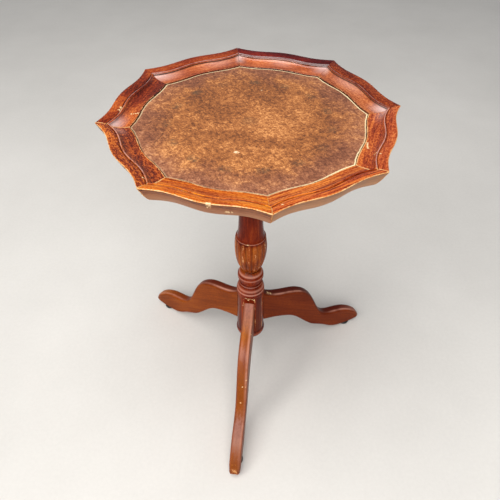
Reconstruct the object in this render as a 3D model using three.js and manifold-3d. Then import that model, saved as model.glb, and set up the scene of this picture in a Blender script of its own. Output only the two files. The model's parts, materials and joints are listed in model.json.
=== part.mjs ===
// Tilt-top wine table: a leather-lined octagonal tray top with eight mitred, waved rim mouldings, hinged on
// a block at the head of a turned and reeded pillar, which stands on three cabriole board legs.
// Millimetres, +Z up. The feet stand on z = 0, and the origin is under the middle of the footprint box.
// The front leg points along -Y. The block and the top are turned a little on the pillar.

import * as THREE from 'three';
import { mergeVertices } from 'three/addons/utils/BufferGeometryUtils.js';
import Module from 'manifold-3d';

const wasm = await Module();
wasm.setup();

// Driving dimensions

const TABLE_HEIGHT = 520;
const GAP = 0.3; // left between pieces that are fitted or glued together
const HEAD_TURN = THREE.MathUtils.degToRad(-9.92); // block and top, turned on the pillar's tenon

// top: three plan curves, each an octagon with waved sides, from its outer edge in to the leather
const OUTER_EDGE = { cornerRadius: 188.4, swell: -0.4, wave: -2.7 };
const RIDGE = { cornerRadius: 172.9, swell: -0.8, wave: -2.9 };
const PANEL_EDGE = { cornerRadius: 148.6, swell: 3.3, wave: -1.4 };
const TOP_SIDES = 8;
const SIDE_STEPS = 10;
const TOP_THICKNESS = 20; // down to the board's underside
const PANEL_DEPTH = 9.8; // from the rim's highest line down to the leather
const LEATHER_THICKNESS = 1.5;
const MITRE_GAP = 0.0015; // of a side's length, at each end
const RIM_THICKNESS = 25; // the rim stands lower than the board inside it
// the rim's outside, as [band, depth] points from its top arris down and in to its flat underside
const OUTER_FACE = [
  [0, 1.2], [0.11, 4.5], [0.22, 8], [0.4, 13.5], [0.6, 18.5], [0.78, 22.3], [0.94, 24.4],
  [1.08, RIM_THICKNESS],
];
const COVE_FOOT = { band: 1.93, depth: 9 };
const COVE_HEAD = { band: 1.06, depth: 4.2 };
const TONGUE_LENGTH = 4.6;
const TONGUE_THICKNESS = 3;

// tilt block and pivot
const BLOCK_HALF_WIDTH = 42;
const BLOCK_THICKNESS = 18;
const BLOCK_FRONT = -46; // latch end
const PIVOT_Y = 40;
const PIN_RADIUS = 3;
const PIN_INNER_END = 26;
const PIN_OUTER_END = 55;
const RUNNING_CLEARANCE = 0.35;
const TENON_CLEARANCE = 0.5;
const WEDGE = { halfLength: 10, height: 12.7, bottomHalf: 0.8, topHalf: 1.7 };

// bearers under the top
const BEARER_WIDTH = 14;
const BEARER_HEIGHT = 20;
const BEARER_HALF_LENGTH = 130;
const BEARER_SIDE_GAP = 0.5; // to the block
const BEARER_SCREW_PLACES = [-90, -8, 90];
const BEARER_END = { step: 14, length: 28, ease: 4 };

// pillar
const PILLAR_SEGMENTS = 32;
const REEDS = 16;
const REED_DEPTH = 1.6;
const TENON_RADIUS = 11.7;
const HUB_FLAT_DISTANCE = 20.2;
const HUB_FLAT_BOTTOM = 101;
const HUB_FLAT_TOP = 192;
// the profile as [height, radius] stretches from the foot up; the reeded vase comes below SHAFT
const FOOT_AND_HUB = [
  [86, 15], [86.6, 20], [89.5, 23], [94, 24.4], [98.5, 24.2], [101, 23.1], [190, 22.2],
];
const LOWER_TORUS = [[191.5, 21.6], [193, 22.6], [197, 23], [202, 22.6], [208, 21.1], [213, 19.2]];
const LOWER_NECK = [[214, 18.2], [215, 18.9], [217, 18.7], [218.5, 17.5], [222, 17.2], [224.5, 18.6]];
const UPPER_TORUS = [
  [226.5, 20.3], [230, 21], [235, 20.7], [237, 19.4], [241, 17.9], [244, 15.5], [245.5, 13.2],
];
const VASE_FOOT = { height: 246.5, radius: 13 };
const VASE_BELLY = { height: 294, radius: 25 };
const VASE_LIP = { height: 316.3, radius: 23 };
const VASE_FULLNESS = 1.45;
const SHOULDER_RADIUS = 19;
const SHAFT = [
  [317.4, 21.7], [323, 20], [332, 18.9], [346, 18.1], [380, 17], [455, 15],
  [466, 15.6], [469, 17.8], [473, 18.2], [476, 16.6],
];

// legs
const LEG_NAMES = ['front', 'rear_right', 'rear_left'];
const LEG_THICKNESS = 18;
const LEG_ROUNDING_WIDTH = 8;
const LEG_TOP_ROUNDING = 5;
const LEG_BOTTOM_ROUNDING = 1.5;
const LEG_BACK = HUB_FLAT_DISTANCE + GAP;
const TOE_REACH = 235.6;
const DOWEL_RADIUS = 4;
const DOWEL_HEIGHTS = [127, 161];
const DOWEL_INNER_END = 7.5;
const DOWEL_OUTER_END = 35;

// glides
const GLIDE_REACH = 205.6;
const GLIDE_HEIGHT = 6;
const GLIDE_NAIL_RADIUS = 1.3;
const GLIDE_NAIL_TOP = 17;

// crown, toe and underside of a leg, as [reach, height] points from the hub out and back
const LEG_CROWN = [
  [LEG_BACK, 179.5], [30, 172], [42, 165.5], [57, 161], [72, 158], [86, 154], [98, 147.5], [109, 138],
  [118, 125], [126, 107], [133, 89], [141, 72.5], [151, 61], [163, 55.5], [178, 53], [193, 49.8],
  [206, 44], [218, 35.5], [228, 26], [234, 17.5],
];
const LEG_TOE = [[TOE_REACH, 13], [233.5, 10]];
const LEG_UNDERSIDE = [
  [226, 8], [216, GLIDE_HEIGHT + GAP], [206, GLIDE_HEIGHT + GAP], [196, GLIDE_HEIGHT + GAP], [184, 7.4],
  [173, 11], [163, 17], [152, 25.5], [139, 33.5], [124, 43], [111, 56.5], [99, 71], [88, 83.5],
  [78, 92], [65, 98.5], [49, 104], [34, 107.7], [LEG_BACK, 110.3],
];

// spring catch
const CATCH_PLATE = { halfWidth: 20, front: -49.5, back: -83.5, thickness: 1.5 };
const CATCH_CASE = { halfWidth: 11.5, front: -49.5, back: -81, bottom: 489.4, wall: 1.2 };
const BOLT = { halfWidth: 5.8, bottom: 491.2, top: 496.7, nose: -49.8, length: 20, bevel: 4 };
const BOLT_TRAVEL = 6;
const BOLT_CLEARANCE = 0.5;
const BOLT_POCKET_DEPTH = 4.5; // into the block
const BOLT_SPINDLE_RADIUS = 1.2;
const BOLT_SPINDLE_LENGTH = 6.2;
const KNOB_Y = -60;
const KNOB_SHANK_RADIUS = 1.5;
const KNOB_SHANK_TOP = 494;
const KNOB_RADIUS = 4.5;
const KNOB_CENTRE = 480;
const SPRING = { coilRadius: 2.3, wireRadius: 0.35, turns: 5 };
const STRIKE = { halfWidth: 16, bottom: 484.5, top: 499.4, thickness: 1.5 };
const STRIKE_SCREW_X = 11.5;
const STRIKE_SCREW_Z = 492;
const CATCH_SCREW_X = 16;
const CATCH_SCREW_INSET = 4.5;

// countersunk wood screws
const BEARER_SCREW = { length: 26.5, shankRadius: 2, headRadius: 3.8, headDepth: 2.6 };
const CATCH_SCREW = { length: 8.3, shankRadius: 1.3, headRadius: 2.7, headDepth: 1.3 };
const SCREW_SEGMENTS = 10;

// Worked-out heights and places

const TOP_UNDERSIDE = TABLE_HEIGHT - TOP_THICKNESS;
const LEATHER_TOP = TABLE_HEIGHT - PANEL_DEPTH;
const BOARD_TOP = LEATHER_TOP - LEATHER_THICKNESS - GAP / 2;
const BLOCK_TOP = TOP_UNDERSIDE - GAP;
const BLOCK_BOTTOM = BLOCK_TOP - BLOCK_THICKNESS;
const PIVOT_Z = BLOCK_TOP - BLOCK_THICKNESS / 2;
const BEARER_TOP = TOP_UNDERSIDE - GAP / 2;
const BEARER_BOTTOM = BEARER_TOP - BEARER_HEIGHT;
const BEARER_SCREW_HEAD = BEARER_BOTTOM + GAP;
const BEARER_INNER_FACE = BLOCK_HALF_WIDTH + BEARER_SIDE_GAP;
const BEARER_MIDDLE = BEARER_INNER_FACE + BEARER_WIDTH / 2;
const FIRST_CORNER = THREE.MathUtils.degToRad(202.5);
const CORNER_STEP = (2 * Math.PI) / TOP_SIDES;
const LEG_STEP = (2 * Math.PI) / LEG_NAMES.length;
const FAR_CORNER_REACH = OUTER_EDGE.cornerRadius * Math.cos(Math.PI / TOP_SIDES + HEAD_TURN);
const PILLAR_Y = (TOE_REACH - FAR_CORNER_REACH) / 2;
const CATCH_PLATE_TOP = TOP_UNDERSIDE - GAP / 2;
const CATCH_PLATE_BOTTOM = CATCH_PLATE_TOP - CATCH_PLATE.thickness;
const BOLT_MIDDLE_Z = (BOLT.bottom + BOLT.top) / 2;
const BOLT_TAIL = BOLT.nose - BOLT.length;
const STRIKE_FACE = BLOCK_FRONT - GAP - STRIKE.thickness;
const TONGUE_BOTTOM = TOP_UNDERSIDE + (BOARD_TOP - TOP_UNDERSIDE - TONGUE_THICKNESS) / 2;
const TONGUE_TOP = TONGUE_BOTTOM + TONGUE_THICKNESS;
const COVE_WIDTH = (RIDGE.cornerRadius - PANEL_EDGE.cornerRadius) * Math.cos(Math.PI / TOP_SIDES);

// Materials

const mahogany = new THREE.MeshStandardMaterial({ color: '#8a3a14', roughness: 0.32 });
const darkMahogany = new THREE.MeshStandardMaterial({ color: '#5c2010', roughness: 0.28 });
const plainWood = new THREE.MeshStandardMaterial({ color: '#7a4a28', roughness: 0.6 });
const beech = new THREE.MeshStandardMaterial({ color: '#c39a66', roughness: 0.7 });
const tanLeather = new THREE.MeshStandardMaterial({ color: '#9a6238', roughness: 0.6 });
const brass = new THREE.MeshStandardMaterial({ color: '#b58a3c', roughness: 0.35, metalness: 1 });
const steel = new THREE.MeshStandardMaterial({ color: '#8f9194', roughness: 0.4, metalness: 1 });
const blackPlastic = new THREE.MeshStandardMaterial({ color: '#1b1a1a', roughness: 0.55 });

// Solids

function signedVolume(geometry) {
  const place = geometry.attributes.position;
  const corners = [new THREE.Vector3(), new THREE.Vector3(), new THREE.Vector3()];
  let total = 0;
  for (let i = 0; i < geometry.index.count; i += 3) {
    corners.forEach((corner, k) => corner.fromBufferAttribute(place, geometry.index.getX(i + k)));
    total += corners[0].dot(corners[1].clone().cross(corners[2])) / 6;
  }
  return total;
}

function bodyFrom(positions, index) {
  const geometry = new THREE.BufferGeometry();
  geometry.setAttribute('position', new THREE.Float32BufferAttribute(positions, 3));
  geometry.setIndex(index);
  if (signedVolume(geometry) < 0) {
    geometry.setIndex([...index].reverse());
  }
  return geometry;
}

// A closed skin over a row of rings with the same number of points. Both ends are filled as the flat
// outline is, whose points match the rings' points one for one.
function skinOver(rings, outline) {
  const inOrder = (points) => (THREE.ShapeUtils.isClockWise(outline) ? [...points].reverse() : points);
  const positions = rings.flatMap((ring) => inOrder(ring).flatMap((point) => [point.x, point.y, point.z]));
  const count = outline.length;
  const index = [];
  for (let layer = 0; layer < rings.length - 1; layer += 1) {
    for (let k = 0; k < count; k += 1) {
      const a = layer * count + k;
      const b = layer * count + ((k + 1) % count);
      index.push(a, b, b + count, a, b + count, a + count);
    }
  }
  const last = (rings.length - 1) * count;
  for (const [i, j, k] of THREE.ShapeUtils.triangulateShape(inOrder(outline), [])) {
    index.push(k, j, i, last + i, last + j, last + k);
  }
  return bodyFrom(positions, index);
}

function solidOf(geometry) {
  const bare = geometry.clone();
  bare.deleteAttribute('normal');
  bare.deleteAttribute('uv');
  const merged = mergeVertices(bare, 1e-4);
  return new wasm.Manifold(new wasm.Mesh({
    numProp: 3,
    vertProperties: new Float32Array(merged.attributes.position.array),
    triVerts: new Uint32Array(merged.index.array),
  }));
}

function geometryOf(solid) {
  const mesh = solid.getMesh();
  const geometry = new THREE.BufferGeometry();
  geometry.setAttribute('position', new THREE.Float32BufferAttribute(mesh.vertProperties, 3));
  geometry.setIndex([...mesh.triVerts]);
  return geometry;
}

function cutAway(geometry, cutters) {
  let solid = solidOf(geometry);
  for (const cutter of cutters) {
    solid = solid.subtract(solidOf(cutter));
  }
  return geometryOf(solid);
}

function joined(geometries) {
  return geometryOf(geometries.map(solidOf).reduce((whole, solid) => whole.add(solid)));
}

function boxBetween(low, high) {
  const box = new THREE.BoxGeometry(high[0] - low[0], high[1] - low[1], high[2] - low[2]);
  return box.translate((low[0] + high[0]) / 2, (low[1] + high[1]) / 2, (low[2] + high[2]) / 2);
}

// A solid turned about +Z from a profile of [radius, height] points that starts and ends on the axis.
function turned(profile, segments) {
  const points = profile.map(([radius, height]) => new THREE.Vector2(radius, height));
  return new THREE.LatheGeometry(points, segments).rotateX(Math.PI / 2);
}

function rod(radius, from, to, segments = 12) {
  return turned([[0, from], [radius, from], [radius, to], [0, to]], segments);
}

function lyingAlongX(geometry) {
  return geometry.rotateY(Math.PI / 2);
}

function lyingAlongY(geometry) {
  return geometry.rotateX(-Math.PI / 2);
}

// A flat shape drawn in (y, z), made as wide as given, about x = 0.
function sideCut(shape, width) {
  const options = { depth: width, bevelEnabled: false, curveSegments: 6 };
  const geometry = new THREE.ExtrudeGeometry(shape, options);
  const toSide = new THREE.Matrix4().makeBasis(
    new THREE.Vector3(0, 1, 0),
    new THREE.Vector3(0, 0, 1),
    new THREE.Vector3(1, 0, 0),
  );
  return geometry.translate(0, 0, -width / 2).applyMatrix4(toSide);
}

// Countersunk screw, its head's flat face at z = 0 and its point up the axis.
function woodScrew({ length, shankRadius, headRadius, headDepth }) {
  const body = turned([
    [0, 0],
    [headRadius, 0],
    [headRadius, 0.3],
    [shankRadius, headDepth],
    [shankRadius, length - 2 * shankRadius],
    [0, length],
  ], SCREW_SEGMENTS);
  const slot = boxBetween([-headRadius - 1, -0.35, -1], [headRadius + 1, 0.35, headDepth * 0.45]);
  return cutAway(body, [slot]);
}

// The room a screw needs: its own shape, a little larger all round and sunk a little deeper.
function screwHole({ length, shankRadius, headRadius, headDepth }) {
  return turned([
    [0, -2],
    [headRadius + 0.35, -2],
    [headRadius + 0.35, 0.4],
    [shankRadius + 0.35, headDepth + 0.4],
    [shankRadius + 0.35, length + 0.4],
    [0, length + 0.4],
  ], SCREW_SEGMENTS);
}

// Tray top

// How far a side stands out from its straight chord, at a fraction of the way along it.
function sideBulge({ swell, wave }, along) {
  return swell * Math.sin(Math.PI * along) + wave * Math.sin(3 * Math.PI * along);
}

function cornerAt(radius, corner) {
  const angle = FIRST_CORNER - corner * CORNER_STEP;
  return new THREE.Vector2(radius * Math.cos(angle), radius * Math.sin(angle));
}

function pointOnSide(curve, side, along) {
  const start = cornerAt(curve.cornerRadius, side);
  const end = cornerAt(curve.cornerRadius, side + 1);
  const outward = start.clone().add(end).normalize();
  return start.lerp(end, along).addScaledVector(outward, sideBulge(curve, along));
}

// Band 0 is the outer edge, 1 the ridge and 2 the leather's edge, and what lies between or beyond is in
// proportion.
function pointOnBand(band, side, along) {
  const [first, second] = band < 1 ? [OUTER_EDGE, RIDGE] : [RIDGE, PANEL_EDGE];
  const start = pointOnSide(first, side, along);
  const end = pointOnSide(second, side, along);
  return start.lerp(end, band < 1 ? band : band - 1);
}

function insideLeatherEdge(distance) {
  return 2 + distance / COVE_WIDTH;
}

function octagonAt(band, height) {
  const ring = [];
  for (let side = 0; side < TOP_SIDES; side += 1) {
    for (let step = 0; step < SIDE_STEPS; step += 1) {
      const place = pointOnBand(band, side, step / SIDE_STEPS);
      ring.push(new THREE.Vector3(place.x, place.y, height));
    }
  }
  return ring;
}

function octagonStack(layers) {
  const rings = layers.map(([band, height]) => octagonAt(band, height));
  const outline = rings[0].map((point) => new THREE.Vector2(point.x, point.y));
  return skinOver(rings, outline);
}

function ellipseArc(steps, pointAt) {
  return Array.from({ length: steps + 1 }, (_, k) => pointAt((k / steps) * (Math.PI / 2)));
}

// The moulding's section as [band, height] points: receding outer face, underside, grooved back, lip,
// cove, quirk, bead at the ridge and the slightly crowned outer band.
function mouldingSection() {
  const down = (depth) => TABLE_HEIGHT - depth;
  const groove = insideLeatherEdge(-TONGUE_LENGTH - GAP);
  const cove = ellipseArc(4, (turn) => [
    THREE.MathUtils.lerp(COVE_FOOT.band, COVE_HEAD.band, Math.sin(turn)),
    down(THREE.MathUtils.lerp(COVE_HEAD.depth, COVE_FOOT.depth, Math.cos(turn))),
  ]);
  return [
    ...OUTER_FACE.map(([band, depth]) => [band, down(depth)]),
    [2, down(RIM_THICKNESS)],
    [2, TONGUE_BOTTOM - GAP],
    [groove, TONGUE_BOTTOM - GAP],
    [groove, TONGUE_TOP + GAP],
    [2, TONGUE_TOP + GAP],
    [2, down(9.3)],
    [1.97, down(8.9)],
    ...cove,
    [1.02, down(3)],
    [0.97, down(2.1)],
    [0.9, down(2.1)],
    [0.84, down(2.5)],
    [0.45, down(0.8)],
    [0.08, down(0)],
  ];
}

function rimMoulding(side) {
  const section = mouldingSection();
  const rings = [];
  for (let step = 0; step <= SIDE_STEPS; step += 1) {
    const along = THREE.MathUtils.clamp(step / SIDE_STEPS, MITRE_GAP, 1 - MITRE_GAP);
    rings.push(section.map(([band, height]) => {
      const place = pointOnBand(band, side, along);
      return new THREE.Vector3(place.x, place.y, height);
    }));
  }
  return skinOver(rings, section.map(([band, height]) => new THREE.Vector2(band * COVE_WIDTH, height)));
}

function topBoard() {
  const edge = insideLeatherEdge(GAP);
  const tongue = insideLeatherEdge(-TONGUE_LENGTH);
  return octagonStack([
    [edge, TOP_UNDERSIDE],
    [edge, TONGUE_BOTTOM],
    [tongue, TONGUE_BOTTOM],
    [tongue, TONGUE_TOP],
    [edge, TONGUE_TOP],
    [edge, BOARD_TOP],
  ]);
}

function leatherPanel() {
  const edge = insideLeatherEdge(0.6);
  return octagonStack([
    [edge, LEATHER_TOP - LEATHER_THICKNESS],
    [edge, LEATHER_TOP - 0.4],
    [insideLeatherEdge(1), LEATHER_TOP],
  ]);
}

// Bearers

function bearer() {
  const { step, length, ease } = BEARER_END;
  const tip = BEARER_HALF_LENGTH;
  const shoulder = tip - length;
  const ledge = BEARER_TOP - step;
  const shape = new THREE.Shape();
  shape.moveTo(-tip, BEARER_TOP);
  shape.lineTo(-tip, BEARER_TOP - step / 2);
  shape.quadraticCurveTo(ease - tip, ledge, -tip + length / 2, ledge);
  shape.quadraticCurveTo(-shoulder - ease, ledge, -shoulder, BEARER_BOTTOM);
  shape.lineTo(shoulder, BEARER_BOTTOM);
  shape.quadraticCurveTo(shoulder + ease, ledge, tip - length / 2, ledge);
  shape.quadraticCurveTo(tip - ease, ledge, tip, BEARER_TOP - step / 2);
  shape.lineTo(tip, BEARER_TOP);
  const pivotHole = lyingAlongX(rod(PIN_RADIUS + RUNNING_CLEARANCE, -BEARER_WIDTH, BEARER_WIDTH, 20));
  return cutAway(sideCut(shape, BEARER_WIDTH), [
    pivotHole.translate(0, PIVOT_Y, PIVOT_Z),
    ...BEARER_SCREW_PLACES.map((y) => screwHole(BEARER_SCREW).translate(0, y, BEARER_SCREW_HEAD)),
  ]);
}

// Tilt block, its pins and the wedge in the tenon

function tiltBlock() {
  const shape = new THREE.Shape();
  shape.moveTo(BLOCK_FRONT, BLOCK_BOTTOM);
  shape.lineTo(PIVOT_Y + BLOCK_THICKNESS / 2, BLOCK_BOTTOM);
  shape.lineTo(PIVOT_Y + BLOCK_THICKNESS / 2, PIVOT_Z);
  shape.absarc(PIVOT_Y, PIVOT_Z, BLOCK_THICKNESS / 2, 0, Math.PI / 2, false);
  shape.lineTo(BLOCK_FRONT, BLOCK_TOP);
  const cutters = [rod(TENON_RADIUS + TENON_CLEARANCE, BLOCK_BOTTOM - 1, BLOCK_TOP + 1, PILLAR_SEGMENTS)];
  for (const side of [-1, 1]) {
    const pinHole = lyingAlongX(rod(PIN_RADIUS + GAP, PIN_INNER_END - GAP, PIN_OUTER_END, 20));
    cutters.push(pinHole.rotateZ(side < 0 ? Math.PI : 0).translate(0, PIVOT_Y, PIVOT_Z));
    cutters.push(strikeScrewHole(side));
  }
  cutters.push(boxBetween(
    [-BOLT.halfWidth - BOLT_CLEARANCE, BLOCK_FRONT - 1, BOLT.bottom - BOLT_CLEARANCE],
    [BOLT.halfWidth + BOLT_CLEARANCE, BLOCK_FRONT + BOLT_POCKET_DEPTH, BOLT.top + BOLT_CLEARANCE],
  ));
  return cutAway(sideCut(shape, 2 * BLOCK_HALF_WIDTH), cutters);
}

function pivotPin() {
  return turned([
    [0, PIN_INNER_END],
    [PIN_RADIUS - 0.5, PIN_INNER_END],
    [PIN_RADIUS, PIN_INNER_END + 0.8],
    [PIN_RADIUS, PIN_OUTER_END - 0.8],
    [PIN_RADIUS - 0.5, PIN_OUTER_END],
    [0, PIN_OUTER_END],
  ], 16).rotateY(Math.PI / 2);
}

function wedgeShape(extra) {
  const { bottomHalf, topHalf, height } = WEDGE;
  const top = BLOCK_TOP - GAP;
  const shape = new THREE.Shape();
  shape.moveTo(-bottomHalf - extra, top - height - extra);
  shape.lineTo(bottomHalf + extra, top - height - extra);
  shape.lineTo(topHalf + extra, top + extra);
  shape.lineTo(-topHalf - extra, top + extra);
  return shape;
}

// Pillar

function pillarRing(radius, height, reedDepth = 0) {
  return Array.from({ length: PILLAR_SEGMENTS }, (_, k) => {
    const angle = (k / PILLAR_SEGMENTS) * 2 * Math.PI;
    const reeding = (reedDepth * (Math.cos(REEDS * angle) - 1)) / 2;
    const distance = radius + reeding;
    return new THREE.Vector3(distance * Math.cos(angle), distance * Math.sin(angle), height);
  });
}

function vaseRings() {
  const rings = [];
  const steps = 5;
  for (let step = 0; step <= steps; step += 1) {
    const turn = (step / steps) * (Math.PI / 2);
    const height = THREE.MathUtils.lerp(VASE_BELLY.height, VASE_FOOT.height, Math.cos(turn));
    const swell = Math.sin(turn) ** VASE_FULLNESS;
    const radius = THREE.MathUtils.lerp(VASE_FOOT.radius, VASE_BELLY.radius, swell);
    rings.push(pillarRing(radius, height, REED_DEPTH * Math.min(1, 0.5 + step / 4)));
  }
  rings.push(pillarRing(VASE_LIP.radius + 0.3, VASE_LIP.height - 5, REED_DEPTH));
  rings.push(pillarRing(VASE_LIP.radius, VASE_LIP.height));
  return rings;
}

function pillar() {
  const stretch = (points) => points.map(([height, radius]) => pillarRing(radius, height));
  const rings = [
    ...stretch(FOOT_AND_HUB),
    ...stretch(LOWER_TORUS),
    ...stretch(LOWER_NECK),
    ...stretch(UPPER_TORUS),
    ...vaseRings(),
    ...stretch(SHAFT),
    pillarRing(SHOULDER_RADIUS, BLOCK_BOTTOM - GAP),
    pillarRing(TENON_RADIUS, BLOCK_BOTTOM - GAP),
    pillarRing(TENON_RADIUS, BLOCK_TOP - GAP),
  ];
  const outline = rings[0].map((point) => new THREE.Vector2(point.x, point.y));
  const cutters = [sideCut(wedgeShape(GAP), 3 * TENON_RADIUS).rotateZ(Math.PI / 2 + HEAD_TURN)];
  for (let leg = 0; leg < LEG_NAMES.length; leg += 1) {
    const flat = boxBetween([HUB_FLAT_DISTANCE, -30, HUB_FLAT_BOTTOM], [60, 30, HUB_FLAT_TOP]);
    cutters.push(flat.rotateZ(legDirection(leg)));
    for (const height of DOWEL_HEIGHTS) {
      const hole = lyingAlongX(rod(DOWEL_RADIUS + GAP, DOWEL_INNER_END - 0.5, DOWEL_OUTER_END));
      cutters.push(hole.translate(0, 0, height).rotateZ(legDirection(leg)));
    }
  }
  return cutAway(skinOver(rings, outline), cutters);
}

// Legs

function legDirection(leg) {
  return -Math.PI / 2 + leg * LEG_STEP;
}

// The same outline moved in by each point's own amount, square to the outline there.
function movedIn(outline, amounts) {
  return outline.map((point, k) => {
    const before = outline[(k + outline.length - 1) % outline.length];
    const after = outline[(k + 1) % outline.length];
    const run = after.clone().sub(before).normalize();
    return point.clone().add(new THREE.Vector2(run.y, -run.x).multiplyScalar(amounts[k]));
  });
}

function leg() {
  const crown = LEG_CROWN.map(([reach, height]) => new THREE.Vector2(reach, height));
  const below = [...LEG_TOE, ...LEG_UNDERSIDE].map(([reach, height]) => new THREE.Vector2(reach, height));
  const outline = [...crown, ...below];
  const rounding = outline.map((_, k) => (k < crown.length ? LEG_TOP_ROUNDING : LEG_BOTTOM_ROUNDING));
  const half = LEG_THICKNESS / 2;
  const layers = ellipseArc(2, (turn) => [
    half - LEG_ROUNDING_WIDTH * (1 - Math.cos(turn)),
    1 - Math.sin(turn),
  ]);
  const wholeWidth = [
    ...layers.map(([side, share]) => [-side, share]),
    ...[...layers].reverse(),
  ];
  const rings = wholeWidth.map(([side, share]) => {
    const moved = movedIn(outline, rounding.map((amount) => amount * share));
    return moved.map((point) => new THREE.Vector3(Math.max(point.x, LEG_BACK), side, point.y));
  });
  const cutters = DOWEL_HEIGHTS.map((height) => {
    const hole = lyingAlongX(rod(DOWEL_RADIUS + GAP, LEG_BACK - 2, DOWEL_OUTER_END + 0.5));
    return hole.translate(0, 0, height);
  });
  cutters.push(rod(GLIDE_NAIL_RADIUS + GAP, 0, GLIDE_NAIL_TOP + GAP, 12).translate(GLIDE_REACH, 0, 0));
  return cutAway(skinOver(rings, outline), cutters);
}

function legDowel() {
  const end = DOWEL_RADIUS - 0.8;
  return lyingAlongX(turned([
    [0, DOWEL_INNER_END],
    [end, DOWEL_INNER_END],
    [DOWEL_RADIUS, DOWEL_INNER_END + 1.5],
    [DOWEL_RADIUS, DOWEL_OUTER_END - 1.5],
    [end, DOWEL_OUTER_END],
    [0, DOWEL_OUTER_END],
  ], 12));
}

function glide() {
  return turned([
    [0, 0], [7.4, 0], [9.7, 1.1], [10.7, 2.9], [10.4, 4.8], [9.2, GLIDE_HEIGHT],
    [GLIDE_NAIL_RADIUS, GLIDE_HEIGHT], [GLIDE_NAIL_RADIUS, GLIDE_NAIL_TOP - 3], [0, GLIDE_NAIL_TOP],
  ], 16);
}

// Spring catch

function catchScrewPlaces() {
  const ends = [CATCH_PLATE.front - CATCH_SCREW_INSET, CATCH_PLATE.back + CATCH_SCREW_INSET];
  return ends.flatMap((y) => [[-CATCH_SCREW_X, y], [CATCH_SCREW_X, y]]);
}

function catchPlate() {
  const plate = boxBetween(
    [-CATCH_PLATE.halfWidth, CATCH_PLATE.back, CATCH_PLATE_BOTTOM],
    [CATCH_PLATE.halfWidth, CATCH_PLATE.front, CATCH_PLATE_TOP],
  );
  return cutAway(plate, catchScrewPlaces().map(([x, y]) => {
    return screwHole(CATCH_SCREW).translate(x, y, CATCH_PLATE_BOTTOM + 0.1);
  }));
}

function catchCase() {
  const { halfWidth, front, back, bottom, wall } = CATCH_CASE;
  const top = CATCH_PLATE_BOTTOM - 0.2;
  const shell = boxBetween([-halfWidth, back, bottom], [halfWidth, front, top]);
  const inside = boxBetween(
    [wall - halfWidth, back + wall, bottom + wall],
    [halfWidth - wall, front - wall, top + 1],
  );
  const mouth = boxBetween(
    [-BOLT.halfWidth - GAP, front - 2 * wall, BOLT.bottom - GAP],
    [BOLT.halfWidth + GAP, front + 1, BOLT.top + GAP],
  );
  const slotHalf = KNOB_SHANK_RADIUS + 0.4;
  const slot = boxBetween(
    [-slotHalf, KNOB_Y - slotHalf, bottom - 1],
    [slotHalf, KNOB_Y + BOLT_TRAVEL + slotHalf, bottom + 2 * wall],
  );
  return cutAway(shell, [inside, mouth, slot]);
}

function catchBolt() {
  const shape = new THREE.Shape();
  shape.moveTo(BOLT_TAIL, BOLT.bottom);
  shape.lineTo(BOLT.nose - BOLT.bevel, BOLT.bottom);
  shape.lineTo(BOLT.nose, BOLT.top - 1.5);
  shape.lineTo(BOLT.nose, BOLT.top);
  shape.lineTo(BOLT_TAIL, BOLT.top);
  const spindle = lyingAlongY(rod(BOLT_SPINDLE_RADIUS, BOLT_TAIL - BOLT_SPINDLE_LENGTH, BOLT_TAIL + 1, 12));
  const body = joined([sideCut(shape, 2 * BOLT.halfWidth), spindle.translate(0, 0, BOLT_MIDDLE_Z)]);
  const shankHole = rod(KNOB_SHANK_RADIUS + GAP, BOLT.bottom - 1, KNOB_SHANK_TOP + GAP, 12);
  return cutAway(body, [shankHole.translate(0, KNOB_Y, 0)]);
}

function catchKnob() {
  const ball = ellipseArc(4, (turn) => [
    KNOB_RADIUS * Math.sin(turn),
    KNOB_CENTRE - KNOB_RADIUS * Math.cos(turn),
  ]);
  return turned([
    ...ball,
    [KNOB_RADIUS * 0.9, KNOB_CENTRE + 2],
    [KNOB_RADIUS * 0.55, KNOB_CENTRE + 3.6],
    [2.2, KNOB_CENTRE + 5],
    [2.4, KNOB_CENTRE + 6.5],
    [KNOB_SHANK_RADIUS, KNOB_CENTRE + 7],
    [KNOB_SHANK_RADIUS, KNOB_SHANK_TOP],
    [0, KNOB_SHANK_TOP],
  ], 12).translate(0, KNOB_Y, 0);
}

class Helix extends THREE.Curve {
  constructor(radius, start, end, turns) {
    super();
    Object.assign(this, { radius, start, end, turns });
  }

  getPoint(along, target = new THREE.Vector3()) {
    const angle = along * this.turns * 2 * Math.PI;
    const y = THREE.MathUtils.lerp(this.start, this.end, along);
    return target.set(this.radius * Math.cos(angle), y, this.radius * Math.sin(angle));
  }
}

function catchSpring() {
  const start = BOLT_TAIL - SPRING.wireRadius - GAP;
  const end = CATCH_CASE.back + CATCH_CASE.wall + SPRING.wireRadius + GAP;
  const wire = new THREE.Shape().absarc(0, 0, SPRING.wireRadius, 0, 2 * Math.PI, false);
  const coil = new THREE.ExtrudeGeometry(wire, {
    extrudePath: new Helix(SPRING.coilRadius, start, end, SPRING.turns),
    steps: SPRING.turns * 7,
    curveSegments: 3,
    bevelEnabled: false,
  });
  return coil.translate(0, 0, BOLT_MIDDLE_Z);
}

function strikeScrewHole(side) {
  return lyingAlongY(screwHole(CATCH_SCREW)).translate(side * STRIKE_SCREW_X, STRIKE_FACE, STRIKE_SCREW_Z);
}

function strikePlate() {
  const plate = boxBetween(
    [-STRIKE.halfWidth, STRIKE_FACE, STRIKE.bottom],
    [STRIKE.halfWidth, STRIKE_FACE + STRIKE.thickness, STRIKE.top],
  );
  const mouth = boxBetween(
    [-BOLT.halfWidth - BOLT_CLEARANCE, STRIKE_FACE - 1, BOLT.bottom - BOLT_CLEARANCE],
    [BOLT.halfWidth + BOLT_CLEARANCE, BLOCK_FRONT, BOLT.top + BOLT_CLEARANCE],
  );
  return cutAway(plate, [mouth, strikeScrewHole(-1), strikeScrewHole(1)]);
}

// Assembly

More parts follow.
